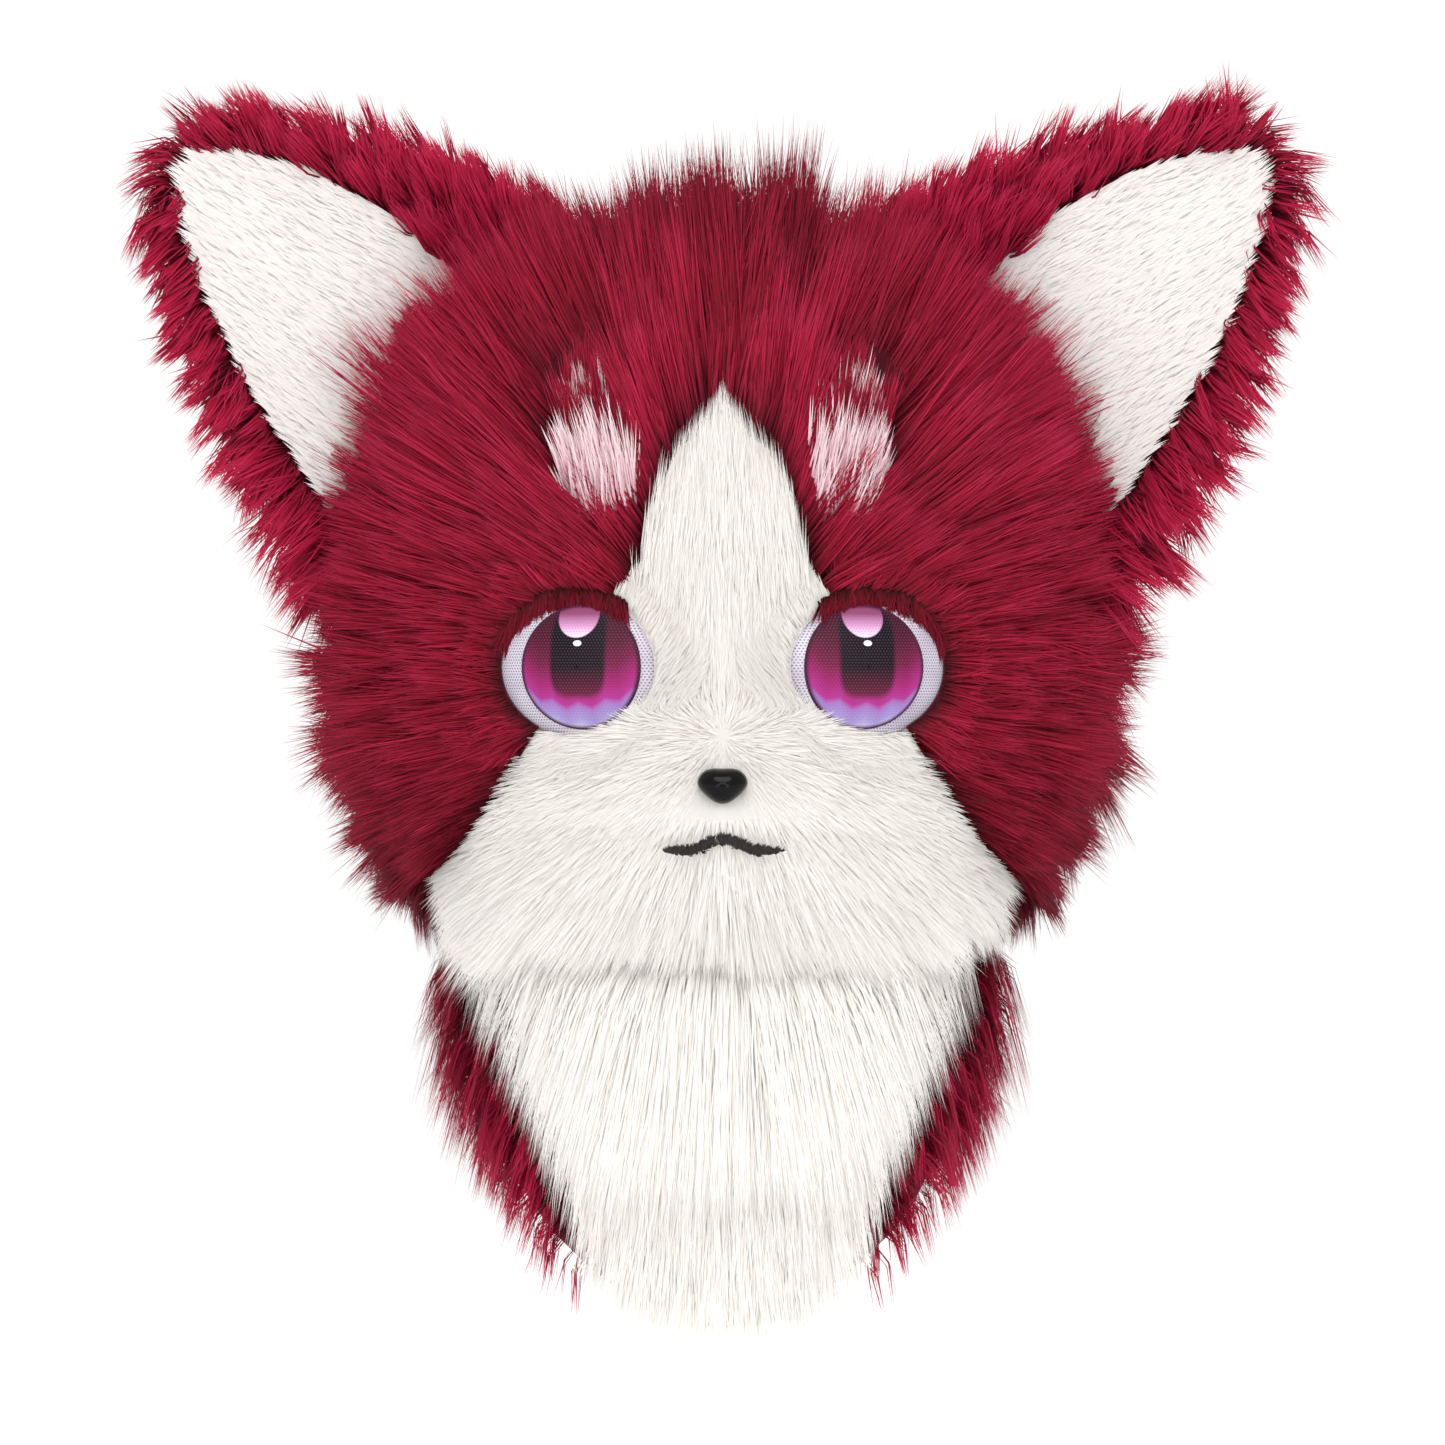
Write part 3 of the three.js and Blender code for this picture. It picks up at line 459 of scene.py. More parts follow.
def fur_material(name, roots_to_tips, dark, light, roughness=0.6, sheen=0.25, see_through=0.2):
    """Fur whose colour runs from root to tip, and varies from strand to strand between dark and light, and
    from place to place with a coat's tone, which is partly the fur's own colour and partly painted light and
    shade.
    """
    material, tree, shader = new_material(name)
    along = attribute(tree, "along")
    shade = attribute(tree, "shade")
    base = ramp(tree, along, roots_to_tips)
    vary = ramp(tree, shade, ((0.1, dark), (0.5, (0.5, 0.5, 0.5, 1)), (0.9, light)))
    doubled = mix_colours(tree, "MULTIPLY", 1.0, base, vary)
    colour = mix_colours(tree, "ADD", 1.0, doubled, doubled)
    tree.links.new(colour, shader.inputs["Base Color"])
    shader.inputs["Roughness"].default_value = roughness
    shader.inputs["Specular IOR Level"].default_value = 0.12
    shader.inputs["Sheen Weight"].default_value = sheen
    shader.inputs["Sheen Roughness"].default_value = 0.5
    through = tree.nodes.new("ShaderNodeBsdfTranslucent")
    tree.links.new(colour, through.inputs["Color"])
    mixed = tree.nodes.new("ShaderNodeMixShader")
    mixed.inputs[0].default_value = see_through
    tree.links.new(shader.outputs[0], mixed.inputs[1])
    tree.links.new(through.outputs[0], mixed.inputs[2])
    tree.links.new(mixed.outputs[0], tree.nodes["Material Output"].inputs["Surface"])
    return material


def crimson_fur():
    # Painted shade: the ramp darkens the strands towards their roots, where shade falls deep in the pile.
    return fur_material(
        "crimson_fur",
        ((0, srgb(42, 1, 9)), (0.3, srgb(98, 5, 24)), (0.7, srgb(141, 12, 41)), (1, srgb(158, 27, 59))),
        (0.25, 0.2, 0.21, 1), (0.85, 1.4, 1.2, 1), sheen=0.02)


def white_fur():
    # Painted shade: the strands are a little greyer towards their roots, where shade falls deep in the pile.
    return fur_material(
        "white_fur",
        ((0, srgb(232, 228, 224)), (0.4, srgb(247, 245, 241)), (1, srgb(251, 249, 246))),
        (0.43, 0.427, 0.42, 1), (0.53, 0.53, 0.53, 1), sheen=0.05, see_through=0.4)


def plush_material():
    # Painted shade: the strands are a little greyer towards their roots, where shade falls deep in the pile.
    return fur_material(
        "white_plush",
        ((0, srgb(230, 225, 222)), (0.5, srgb(246, 242, 240)), (1, srgb(250, 248, 246))),
        (0.46, 0.455, 0.455, 1), (0.52, 0.52, 0.52, 1), sheen=0.05, see_through=0.35)


def brow_fur():
    return fur_material(
        "brow_fur",
        ((0, srgb(160, 44, 72)), (0.2, srgb(206, 116, 138)), (0.5, srgb(234, 200, 208)),
         (1, srgb(243, 232, 234))),
        (0.3, 0.2, 0.22, 1), (0.52, 0.52, 0.52, 1), sheen=0.05, see_through=0.3)


def foam_material():
    material, tree, shader = new_material("foam")
    cells = noise(tree, 900, 4, 0.7)
    colour = ramp(tree, noise(tree, 18, 4), ((0.3, srgb(205, 196, 168)), (0.7, srgb(224, 217, 193))))
    pores = ramp(tree, cells, ((0.36, srgb(150, 142, 118)), (0.5, (1, 1, 1, 1))))
    tree.links.new(mix_colours(tree, "MULTIPLY", 0.8, colour, pores), shader.inputs["Base Color"])
    shader.inputs["Roughness"].default_value = 0.95
    bump(tree, shader, cells, 0.6, 0.0012)
    return material


def sleeve_material():
    material, tree, shader = new_material("sleeve_cloth")
    knit = tree.nodes.new("ShaderNodeTexWave")
    knit.wave_type = "BANDS"
    knit.bands_direction = "Z"
    knit.inputs["Scale"].default_value = 260
    knit.inputs["Distortion"].default_value = 2.5
    knit.inputs["Detail"].default_value = 2
    tree.links.new(object_place(tree), knit.inputs["Vector"])
    colour = ramp(tree, knit.outputs["Fac"], ((0.2, srgb(66, 8, 22)), (0.8, srgb(112, 18, 42))))
    tree.links.new(colour, shader.inputs["Base Color"])
    shader.inputs["Roughness"].default_value = 0.9
    shader.inputs["Sheen Weight"].default_value = 0.3
    bump(tree, shader, knit.outputs["Fac"], 0.5, 0.0005)
    return material


def nose_material():
    material, tree, shader = new_material("nose_plastic")
    smear = noise(tree, 140, 3)
    colour = ramp(tree, smear, ((0.3, srgb(3, 3, 4)), (0.8, srgb(9, 9, 10))))
    tree.links.new(colour, shader.inputs["Base Color"])
    rough = ramp(tree, smear, ((0.35, (0.09, 0.09, 0.09, 1)), (0.75, (0.2, 0.2, 0.2, 1))))
    tree.links.new(rough, shader.inputs["Roughness"])
    shader.inputs["Specular IOR Level"].default_value = 0.14
    bump(tree, shader, noise(tree, 700, 2), 0.04, 0.0004)
    return material


def stitching_material():
    return fur_material(
        "mouth_stitching",
        ((0, srgb(24, 21, 21)), (1, srgb(58, 53, 53))),
        (0.3, 0.3, 0.3, 1), (0.9, 0.9, 0.9, 1), sheen=0.05, see_through=0.05)


# Eyes: domes of see-through mesh, with the iris printed on a layer over them

def eye_frame(side):
    """How an eye turns, as rows across, inwards and up, and where its centre is."""
    low, high = (np.array(corner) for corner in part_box("eye_mesh_left"))
    turn = side * EYE_TURN
    across = np.array((math.cos(turn), math.sin(turn), 0))
    inward = np.array((-math.sin(turn), math.cos(turn), 0))
    centre = (low + high) / 2
    deep = low[1] + EYE_BULGE + EYE_WALL
    place = np.array((side * centre[0], deep, EYE_HEIGHT))
    return np.array((across, inward, (0, 0, 1))), place


def dome(name, node, side, half_width, half_height, lift, wall, material, inward=0):
    """An elliptic part of the eye's dome, with its own thickness."""
    axes, place = eye_frame(side)
    share = np.sin(np.linspace(0, math.pi / 2, DOME_RINGS + 1))[:, None]
    angle = np.arange(DOME_COLUMNS)[None, :] / DOME_COLUMNS * 2 * math.pi
    x = share * half_width * np.sin(angle) - side * inward
    z = share * half_height * np.cos(angle)
    rise = np.sqrt(np.clip(1 - (x / EYE_HALF_WIDTH) ** 2 - (z / EYE_HALF_HEIGHT) ** 2, 0, 1))
    layers = []
    for extra in (lift + wall, lift):
        layers.append(np.stack((x, -EYE_BULGE * rise - extra, z), axis=-1))
    rows = np.concatenate((layers[0], layers[1][::-1]))
    local = rows.reshape(-1, 3)
    made = mesh_object(name, place + local @ axes, ring_faces(len(rows), DOME_COLUMNS), (
        ("across", (local[:, 0] + side * inward) / IRIS_HALF_WIDTH),
        ("up", local[:, 2] / IRIS_HALF_HEIGHT),
    ), material)
    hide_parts(node)


# How each coat looks, and the sizes of what is built

# under_along picks where on the roots-to-tips ramp the soft under-layer takes its colour. On the crimson
# coats this is the dark root colour, which is painted shade.
LOOK = {
    "per_lock": 34, "uneven": 0.2, "ragged": 0.35, "stray": 0.09, "sway": 0.06, "gather": 0.5,
    "flyaway": 0.1, "width": 0.0007, "height": 1.12, "reach": 2.0, "under": 0.42, "under_along": 0.1,
    "roll": 0.3, "contrast": 0.11, "lock_contrast": 0.05, "bright_hairs": 0.1, "feather": (0.8, 1.14),
    "hangs": False,
}
BACK_LOOK = dict(LOOK, width=0.0015)
FACE_LOOK = dict(
    LOOK, per_lock=9, uneven=0.12, stray=0.06, gather=0.12, width=0.00045, height=0.74, reach=1.45,
    under=0.4, under_along=0.9, roll=0.08, contrast=0.03, lock_contrast=0.01, bright_hairs=0,
    feather=(0.7, 1.28))
BROW_LOOK = dict(
    LOOK, per_lock=8, width=0.0008, height=1.1, reach=1.1, under=None, contrast=0.2, ragged=0.6,
    gather=0.5)
NECK_LOOK = dict(
    LOOK, per_lock=30, height=1.05, reach=1.35, stray=0.2, uneven=0.4, gather=0.8, flyaway=0.2,
    width=0.0007, under_along=0.3)
BIB_LOOK = dict(
    LOOK, per_lock=12, height=0.9, reach=2.3, stray=0.07, sway=0.03, gather=0.12, width=0.00055,
    under=0.8, under_along=0.9, roll=0.1, contrast=0.025, lock_contrast=0.01, bright_hairs=0,
    feather=(0.72, 1.2))
EAR_LOOK = dict(
    LOOK, per_lock=16, uneven=0.4, stray=0.2, width=0.0008, height=0.95, reach=1.8, under=-0.1,
    under_along=0.3, gather=0.7)
PLUSH_LOOK = dict(
    LOOK, per_lock=5, uneven=0.1, ragged=0.2, stray=0.1, sway=0.05, gather=0.2, width=0.0007, height=0.35,
    reach=1.8, under=0.05, under_along=0.9, roll=0.2, contrast=0.04, lock_contrast=0.01, bright_hairs=0)
LID_LOOK = dict(LOOK, per_lock=9, stray=0.15, gather=0.3, height=0.7, reach=2.0, under=0, under_along=0.25)
LOWER_LID_LOOK = dict(FACE_LOOK, under=0, width=0.00045, height=0.6, reach=1.5)
OVERHANG_LOOK = dict(
    LID_LOOK, height=0.3, reach=2.4, stray=0.2, uneven=0.35, ragged=0.6, under=None, hangs=True)
STITCH_LOOK = dict(
    LOOK, per_lock=4, stray=0.5, gather=0.3, width=0.0005, height=0.5, reach=1.1, under=None, flyaway=0.3)
HOOD_COATS = (
    ("crown_fur", LOOK, 63000),
    ("cheek_fur_left", LOOK, 20500),
    ("cheek_fur_right", LOOK, 20500),
    ("back_fur", BACK_LOOK, 24000),
)
MUZZLE_DEPTH = 0.0063
BLAZE_DEPTH = 0.016
BROW_GROUND_DEPTH = 0.011
BROW_DEPTH = 0.019
BROW_SHARE = 0.86
BROW_STRANDS = 2000
EAR_DEPTH = 0.012
PLUSH_DEPTH = 0.005
STITCH_DEPTH = 0.002
RIM_START = 0.93
LID_EDGE = 1.4
OVERHANG_EDGE = 1.1
LID_ROWS = 8
LID_COLUMNS = 40
SHORT_PILE = 0.0018
MUZZLE_TOP = (-0.163, -0.14)
NOSE_BRIDGE = -0.148
NOSE_HEIGHT = -0.1695
NOSE_BULGE = 0.008
NOSE_BACK = 0.01
NOSE_COLUMNS = 64
MOUTH_HALF = 0.0018
STITCH_SINK = np.array((0, 0.0014, 0))
BROW_SHIFT = np.array((-0.001, 0, -0.018))
NECK_OUTLINE = (
    (-0.42, 0.046), (-0.4, 0.055), (-0.385, 0.062), (-0.37, 0.07), (-0.357, 0.079), (-0.341, 0.09),
    (-0.325, 0.102), (-0.3, 0.118), (-0.213, 0.145))
BIB_OUTLINE = (
    (-0.42, 0.02), (-0.4, 0.037), (-0.385, 0.047), (-0.373, 0.052), (-0.357, 0.055), (-0.341, 0.059),
    (-0.309, 0.071), (-0.277, 0.086), (-0.245, 0.102), (-0.213, 0.116))
FACE_OUTLINE = (
    (-0.3, 0.12), (-0.225, 0.125), (-0.207, 0.114), (-0.197, 0.104), (-0.181, 0.092), (-0.165, 0.082),
    (-0.149, 0.077), (-0.14, 0.06), (-0.12, 0.036), (-0.09, 0.036), (-0.06, 0.03), (-0.045, 0.024),
    (-0.03, 0.018), (-0.018, 0.01), (-0.008, 0.002), (-0.004, 0.0))


def comb_hood(points):
    """Hair runs away from between the eyes, back along the sides and down behind."""
    behind = smoothstep(points[:, 1:2], -FRONT / 2, BACK)
    out = unit(points * (1, 0, 1) - (0, 0, EYE_HEIGHT))
    back = np.concatenate((np.zeros_like(behind), np.ones_like(behind), -1.5 * behind), axis=1)
    return out * 0.6 * (1 - behind) + back


def comb_brow(points):
    """Hair runs up the brow, a little outwards and back."""
    return unit(points * (0.35, 0, 0) + (0, 0, 0.1)) + (0, 0.3, 0)


def comb_face(points):
    """Hair runs away from the bridge of the nose: up the brow, and out and down over the cheeks and chin."""
    out = unit(points * (1, 0, 1) - (0, 0, NOSE_BRIDGE))
    rising = smoothstep(points[:, 2:3], NOSE_BRIDGE, NOSE_BRIDGE + 0.02)
    up = unit(points * (-0.3, 0, 0) + (0, 0, 0.07))
    return rising * up + (1 - rising) * out


def comb_neck(points):
    """Hair runs down the neck, and out at its sides."""
    aside = smoothstep(np.abs(points[:, :1]), 0.03, 0.1)
    high = smoothstep(points[:, 2:], -0.31, NECK_TOP)
    low = smoothstep(-points[:, 2:], 0.31, 0.36)
    out = unit(points * (1, 0.4, 0))
    return out * (0.8 + 1.0 * high - 1.1 * low) * aside + np.array((0, 0, -1.0))


def comb_bib(points):
    """Hair runs down the bib and spreads to its sides, most of all under the chin."""
    high = smoothstep(points[:, 2:], -0.3, NECK_TOP)
    return points * (1, 0, 0) * (6 * high + 2.5) + (0, -0.02, -1.0)


def face_tone(points):
    """The chin's edge catches less light, so its white is a little lighter than the face above it."""
    above = smoothstep(points[:, 2], -0.215, -0.17)
    edge = smoothstep(-points[:, 2], 0.2, 0.225)
    return -0.06 - 0.14 * above + 0.3 * edge


def bib_light_and_chin_shadow(points):
    """Painted light and shade: lighter all over, to make up for the light the bib gets less of than the face,
    and a painted shadow of the chin that makes it a little darker under the chin than towards the point.
    """
    return 0.12 - 0.14 * smoothstep(points[:, 2], -0.275, -0.23)


def bib_shape(points):
    """Shorter towards the point, so the bib ends where its cloth does."""
    low = smoothstep(-points[:, 2], 0.3, 0.37)
    return 1 - 0.1 * low, 1 - 0.28 * low


def neck_shape(points):
    """Longest under the cheeks, shorter towards the hem."""
    low = smoothstep(-points[:, 2], 0.29, 0.35)
    top = smoothstep(points[:, 2], -0.29, -0.24)
    return 1 - 0.3 * low + 0.15 * top, 1 - 0.1 * low + 0.3 * top


def neck_tone(points):
    """Lighter than the hood, most of all towards the hem."""
    return 0.34 + 0.4 * smoothstep(-points[:, 2], 0.28, 0.36)


def ear_tone(points):
    """Lighter than the hood all over."""
    return np.full(len(points), 0.4)


def brow_tone(points):
    """White above, pink at the patch's low end."""
    return 0.4 * smoothstep(points[:, 2], -0.078, -0.058) - 0.22


def hood_sheen_shade_and_tuft(points):
    """Painted light and shade: lighter over the crown, where light falls from above, darker low on the cheeks
    in painted shade, and a painted sheen up the middle of the forehead. Darker also in the tuft on top."""
    forehead = np.exp(-(points[:, 0] / 0.05) ** 2 - ((points[:, 2] + 0.05) / 0.022) ** 2)
    tuft = np.exp(-(points[:, 0] / 0.04) ** 4) * smoothstep(points[:, 2], -0.022, 0.0)
    crown = 0.06 * smoothstep(points[:, 2], -0.1, -0.04)
    low = smoothstep(-points[:, 2], 0.1, 0.2)
    return 0.03 + crown + 0.14 * forehead - 0.4 * tuft - 0.26 * low


def hood_shape(points):
    """Hair lies long and flat up the forehead, and stands off the cheeks in spiky tufts."""
    x, y, z = points.T
    front = 1 - smoothstep(y, -0.09, -0.02)
    forehead = front * smoothstep(z, -0.1, -0.03)
    top = smoothstep(z, -0.02, 0.03)
    shoulder = np.exp(-((np.abs(x) - 0.064) / 0.02) ** 2) * top
    parting = np.exp(-((np.abs(x) - 0.036) / 0.007) ** 2) * top
    tuft = np.exp(-(x / 0.036) ** 4) * smoothstep(z, 0.01, 0.04)
    cheek = smoothstep(np.abs(x), 0.09, 0.12) * np.exp(-((z + 0.1) / 0.025) ** 2)
    low = smoothstep(np.abs(x), 0.09, 0.12) * smoothstep(-z, 0.13, 0.18)
    high = 1 - 0.2 * forehead + 0.45 * shoulder - 0.35 * parting - 0.22 * tuft + 0.15 * cheek - 0.2 * low
    return high, 1 + 0.4 * forehead


def face_shape(points):
    """Hair is longest up the brow and over the chin's edge, and short round the nose."""
    x, _, z = points.T
    brow = smoothstep(z, -0.12, -0.07)
    chin = smoothstep(-z, 0.185, 0.216)
    near_nose = np.exp(-(x / 0.016) ** 2 - ((z - NOSE_HEIGHT) / 0.013) ** 2)
    bridge = np.exp(-(x / 0.014) ** 2 - ((z - NOSE_BRIDGE) / 0.014) ** 2)
    wavy = 1 + 0.4 * np.sin(x * 90) * np.cos(x * 37) + 0.3 * np.sin(x * 210 + z * 300)
    far = 1 + 0.35 * brow + 3.6 * chin * wavy
    return (1 - 0.2 * near_nose) * (1 + 0.6 * chin), far * (1 - 0.2 * near_nose) * (1 - 0.3 * bridge)


def thickness(node):
    """The depth that a coat's own solid has."""
    return lambda points, normals: np.maximum(coat_depth(node, points, normals), LEAST_DEPTH)


def even(depth):
    """One depth all over."""
    return lambda points, normals: np.full(len(points), depth)


def face_depth(points, normals):
    """The white pile is short on the muzzle and longer up the brow."""
    return MUZZLE_DEPTH + (BLAZE_DEPTH - MUZZLE_DEPTH) * smoothstep(points[:, 2], -0.13, -0.07)


def bib_depth(points, normals):
    """The bib's pile is deepest under the chin, and thins towards its sides."""
    deep = smoothstep(points[:, 2], -0.3, NECK_TOP)
    aside = smoothstep(np.abs(points[:, 0]), 0.045, 0.09)
    return (0.018 + 0.022 * deep) * (1 - 0.5 * aside)


def inside_outline(outline):
    """Half the width of an outline at any height."""
    heights, widths = np.array(outline).T
    return lambda z: np.interp(z, heights, widths)


def raised_muzzle(foam_tree):
    """The muzzle's short pile grows on a raised skin, so that its tips reach the nose and the mouth."""
    patch = backing("face_fur", foam_tree)
    spare = np.maximum(coat_depth("face_fur", patch.points, patch.normals) - SHORT_PILE, 0)
    muzzle = 1 - smoothstep(patch.points[:, 2], *MUZZLE_TOP)
    patch.points = patch.points + patch.normals * (spare * muzzle * patch.inner)[:, None]
    return patch


def build_head(crimson, white):
    foam_tree = surface_tree(*FOAM)
    for name, look, strands in HOOD_COATS:
        fur(f"{name}_coat", backing(name, foam_tree), comb_hood, thickness(name), look, crimson, [name],
            strands, strands, tone=hood_sheen_shade_and_tuft, shape=hood_shape)
    fur("face_fur_coat", raised_muzzle(foam_tree), comb_face, face_depth, FACE_LOOK, white,
        ["face_fur"], 62000, 3, tone=face_tone, shape=face_shape,
        within=inside_outline(FACE_OUTLINE))
    brow = brow_fur()
    for side, sign in SIDES.items():
        name = f"brow_patch_{side}"
        patch = backing(name, foam_tree)
        fur(f"{name}_ground", patch, comb_brow, even(BROW_GROUND_DEPTH), LOOK, crimson, [name],
            BROW_STRANDS, 6)
        middle = patch.points.mean(axis=0)
        patch.points = middle + (patch.points - middle) * BROW_SHARE + BROW_SHIFT * (sign, 1, 1)
        fur(f"{name}_coat", patch, comb_brow, even(BROW_DEPTH), BROW_LOOK, brow, [name],
            BROW_STRANDS, 5, tone=brow_tone)


def build_neck(crimson, white):
    sleeve_tree = surface_tree("neck_sleeve")
    fur("neck_fur_coat", backing("neck_fur", sleeve_tree), comb_neck, thickness("neck_fur"), NECK_LOOK,
        crimson, ["neck_fur"], 30000, 7, tone=neck_tone, shape=neck_shape,
        within=inside_outline(NECK_OUTLINE))
    fur("bib_fur_coat", backing("bib_fur", sleeve_tree), comb_bib, bib_depth, BIB_LOOK, white,
        ["bib_fur"], 36000, 8, tone=bib_light_and_chin_shadow, shape=bib_shape,
        within=inside_outline(BIB_OUTLINE))


def ear_half_width(along):
    """Half the ear's width at a share of its reach, drawn in at the tip."""
    bowed = 0.08 + (0.017 - 0.08) * along + 0.009 * np.sin(math.pi * np.clip(along, 0, 1))
    past = np.clip((along - 0.85) / 0.15, 0, 1)
    return bowed * np.sqrt(1 - 0.8 * past ** 2)


def build_ear(side, sign, crimson, plush):
    """The furry shell round an ear, whose fur sweeps towards the tip above and stands off it below, and the
    short plush inside its cup."""
    mirror = np.array((sign, 1, 1))
    axis = np.array((math.sin(EAR_SPREAD), 0, math.cos(EAR_SPREAD))) * mirror
    cross = np.array((-math.cos(EAR_SPREAD), 0, math.sin(EAR_SPREAD))) * mirror
    root = EAR_ROOT * mirror

    def upper_share(points):
        return smoothstep((points - root) @ cross, -0.015, 0.015)[:, None]

    def comb(points):
        upper = upper_share(points)
        return upper * (axis + cross * 0.5) + (1 - upper) * (axis * 0.25 - cross * 0.9 + (0, 0, -0.35))

    def shape(points):
        upper = upper_share(points)[:, 0]
        rooted = 1 - smoothstep((points - root) @ axis, 0.04, 0.12)
        high = 1 + (0.25 + 0.4 * rooted) * (1 - upper) + 0.6 * upper * rooted
        return high, 1 - 0.25 * (1 - upper) * (1 - rooted)

    name = f"ear_shell_{side}"
    points, faces = node_mesh(name)
    centres, _ = face_places(points, faces)
    plush_tree = surface_tree(f"ear_plush_{side}")
    foam_tree = surface_tree(*FOAM)
    in_cup = np.array([plush_tree.find_nearest(centre)[3] < CUP_REACH for centre in centres])
    buried = np.array([foam_tree.find_nearest(centre)[3] < BURIED_REACH for centre in centres])
    along = np.minimum((points - root) @ axis, EAR_REACH * 0.985)
    offset = (points - root) @ cross
    room = ear_half_width(along / EAR_REACH) - 0.002
    offset = np.clip(offset, -room, room)
    plain = root + along[:, None] * axis + offset[:, None] * cross
    plain[:, 1] = points[:, 1]

    def uncovered(places):
        ahead = Vector((0, -1, 0))
        starts = [Vector(place) - ahead * 0.002 for place in places]
        return np.array([plush_tree.ray_cast(start, ahead, PLUSH_LIMIT)[0] is None for start in starts])

    fur(f"{name}_coat", Patch(plain, faces[~in_cup & ~buried]), comb, even(EAR_DEPTH), EAR_LOOK, crimson,
        [name], 16000, 11 + sign, tone=ear_tone, shape=shape, keep=uncovered)

    name = f"ear_plush_{side}"
    points, faces = node_mesh(name)
    _, normals = face_places(points, faces)
    front = Patch(points, faces[normals[:, 1] < -0.3])
    fur(f"{name}_coat", front, lambda p: np.tile(axis - cross * 0.2, (len(p), 1)), even(PLUSH_DEPTH),
        PLUSH_LOOK, plush, [name], 11000, 15 + sign)


def lid(name, side, turns, widest, lift, reach, look, comb, material, strands, tone=None):
    """Fur round part of an eye, between two turns from the top towards the nose. It grows on a skin that
    bridges the rim of the eye and the foam round it, lift in front of the foam."""
    axes, place = eye_frame(side)
    foam = surface_tree(*FOAM)
    share = np.linspace(0, 1, LID_ROWS)[:, None]
    rows = RIM_START + (widest - RIM_START) * share
    angle = np.radians(np.linspace(turns[0], turns[1], LID_COLUMNS))[None, :]
    x = -side * rows * EYE_HALF_WIDTH * np.sin(angle)
    z = rows * EYE_HALF_HEIGHT * np.cos(angle)
    bulge = EYE_BULGE * math.sqrt(1 - RIM_START ** 2) + EYE_WALL + SKIN_GAP
    flat = np.stack(np.broadcast_arrays(x, 0 * x, z), axis=-1).reshape(-1, 3) @ axes + place
    forward = -axes[1]
    depth = np.zeros(len(flat))
    for i, point in enumerate(flat):
        hit = foam.ray_cast(Vector(point + forward * LID_START), Vector(-forward), DEPTH_LIMIT)
        depth[i] = LID_START - hit[3] if hit[0] else 0.0
    depth = depth.reshape(x.shape)
    outer = depth[-1:] + lift
    bridged = bulge + (outer - bulge) * smoothstep(share, 0, 1)
    points = flat + forward * bridged.reshape(-1, 1)
    faces = []
    for row in range(LID_ROWS - 1):
        for column in range(LID_COLUMNS - 1):
            a = row * LID_COLUMNS + column
            faces.extend(((a, a + 1, a + LID_COLUMNS + 1), (a, a + LID_COLUMNS + 1, a + LID_COLUMNS)))
    patch = Patch(points, np.array(faces))
    if patch.normals[:, 1].mean() > 0:
        patch = Patch(points, np.array(faces), flip=True)
    if look["hangs"]:
        patch.normals[:] = forward
    middle = place + forward * EYE_BULGE / 2

    def away(places):
        return unit(places - middle) * (0 if look["hangs"] else 0.7) + comb(places)

    fur(name, patch, away, even(reach), look, material, [], strands, 31 + side, tone=tone)


def comb_down(points):
    """Hair hangs straight down."""
    return np.tile((0, 0, -1.0), (len(points), 1))


def lid_tone(points):
    """The lower lid faces up to the light, so its fur is a little darker than the muzzle's to match it."""
    return face_tone(points) - 0.14


def lash_tone(points):
    """The fringe over an eye is dark."""
    return np.full(len(points), -0.5)


def build_eyes(crimson, white):
    mesh_cloth = eye_mesh_material()
    print_layer = iris_material()
    for side, sign in SIDES.items():
        dome(f"eye_dome_{side}", f"eye_mesh_{side}", sign, EYE_HALF_WIDTH, EYE_HALF_HEIGHT, 0, EYE_WALL,
             mesh_cloth)
        dome(f"iris_print_{side}", f"iris_{side}", sign, IRIS_HALF_WIDTH, IRIS_HALF_HEIGHT,
             EYE_WALL + IRIS_GAP, IRIS_WALL, print_layer, inward=IRIS_INWARD)
        lid(f"eyelid_{side}", sign, (-150, 20), LID_EDGE, 0.007, 0.009, LID_LOOK, comb_hood, crimson,
            5000)
        lid(f"lower_lid_{side}", sign, (26, 202), LID_EDGE, 0.0025, 0.005, LOWER_LID_LOOK, comb_face, white,
            6000, tone=lid_tone)
        lid(f"overhang_{side}", sign, (-62, 36), OVERHANG_EDGE, 0.012, 0.0045, OVERHANG_LOOK, comb_down,
            crimson, 1500, tone=lash_tone)


def eye_mesh_material():
    """Fine pale mesh: small darker holes in rows over a violet grey that varies a little."""
    material, tree, shader = new_material("eye_mesh")
    holes = mesh_holes(tree)
    pale = ramp(tree, noise(tree, 30, 2), ((0.35, srgb(176, 168, 182)), (0.65, srgb(214, 210, 219))))
    colour = mix_colours(tree, "MIX", holes, pale, srgb(120, 112, 128))
    tree.links.new(colour, shader.inputs["Base Color"])
    shader.inputs["Roughness"].default_value = 0.5
    shader.inputs["Specular IOR Level"].default_value = 0.2
    bump(tree, shader, holes, 0.3, 0.0003)
    return material


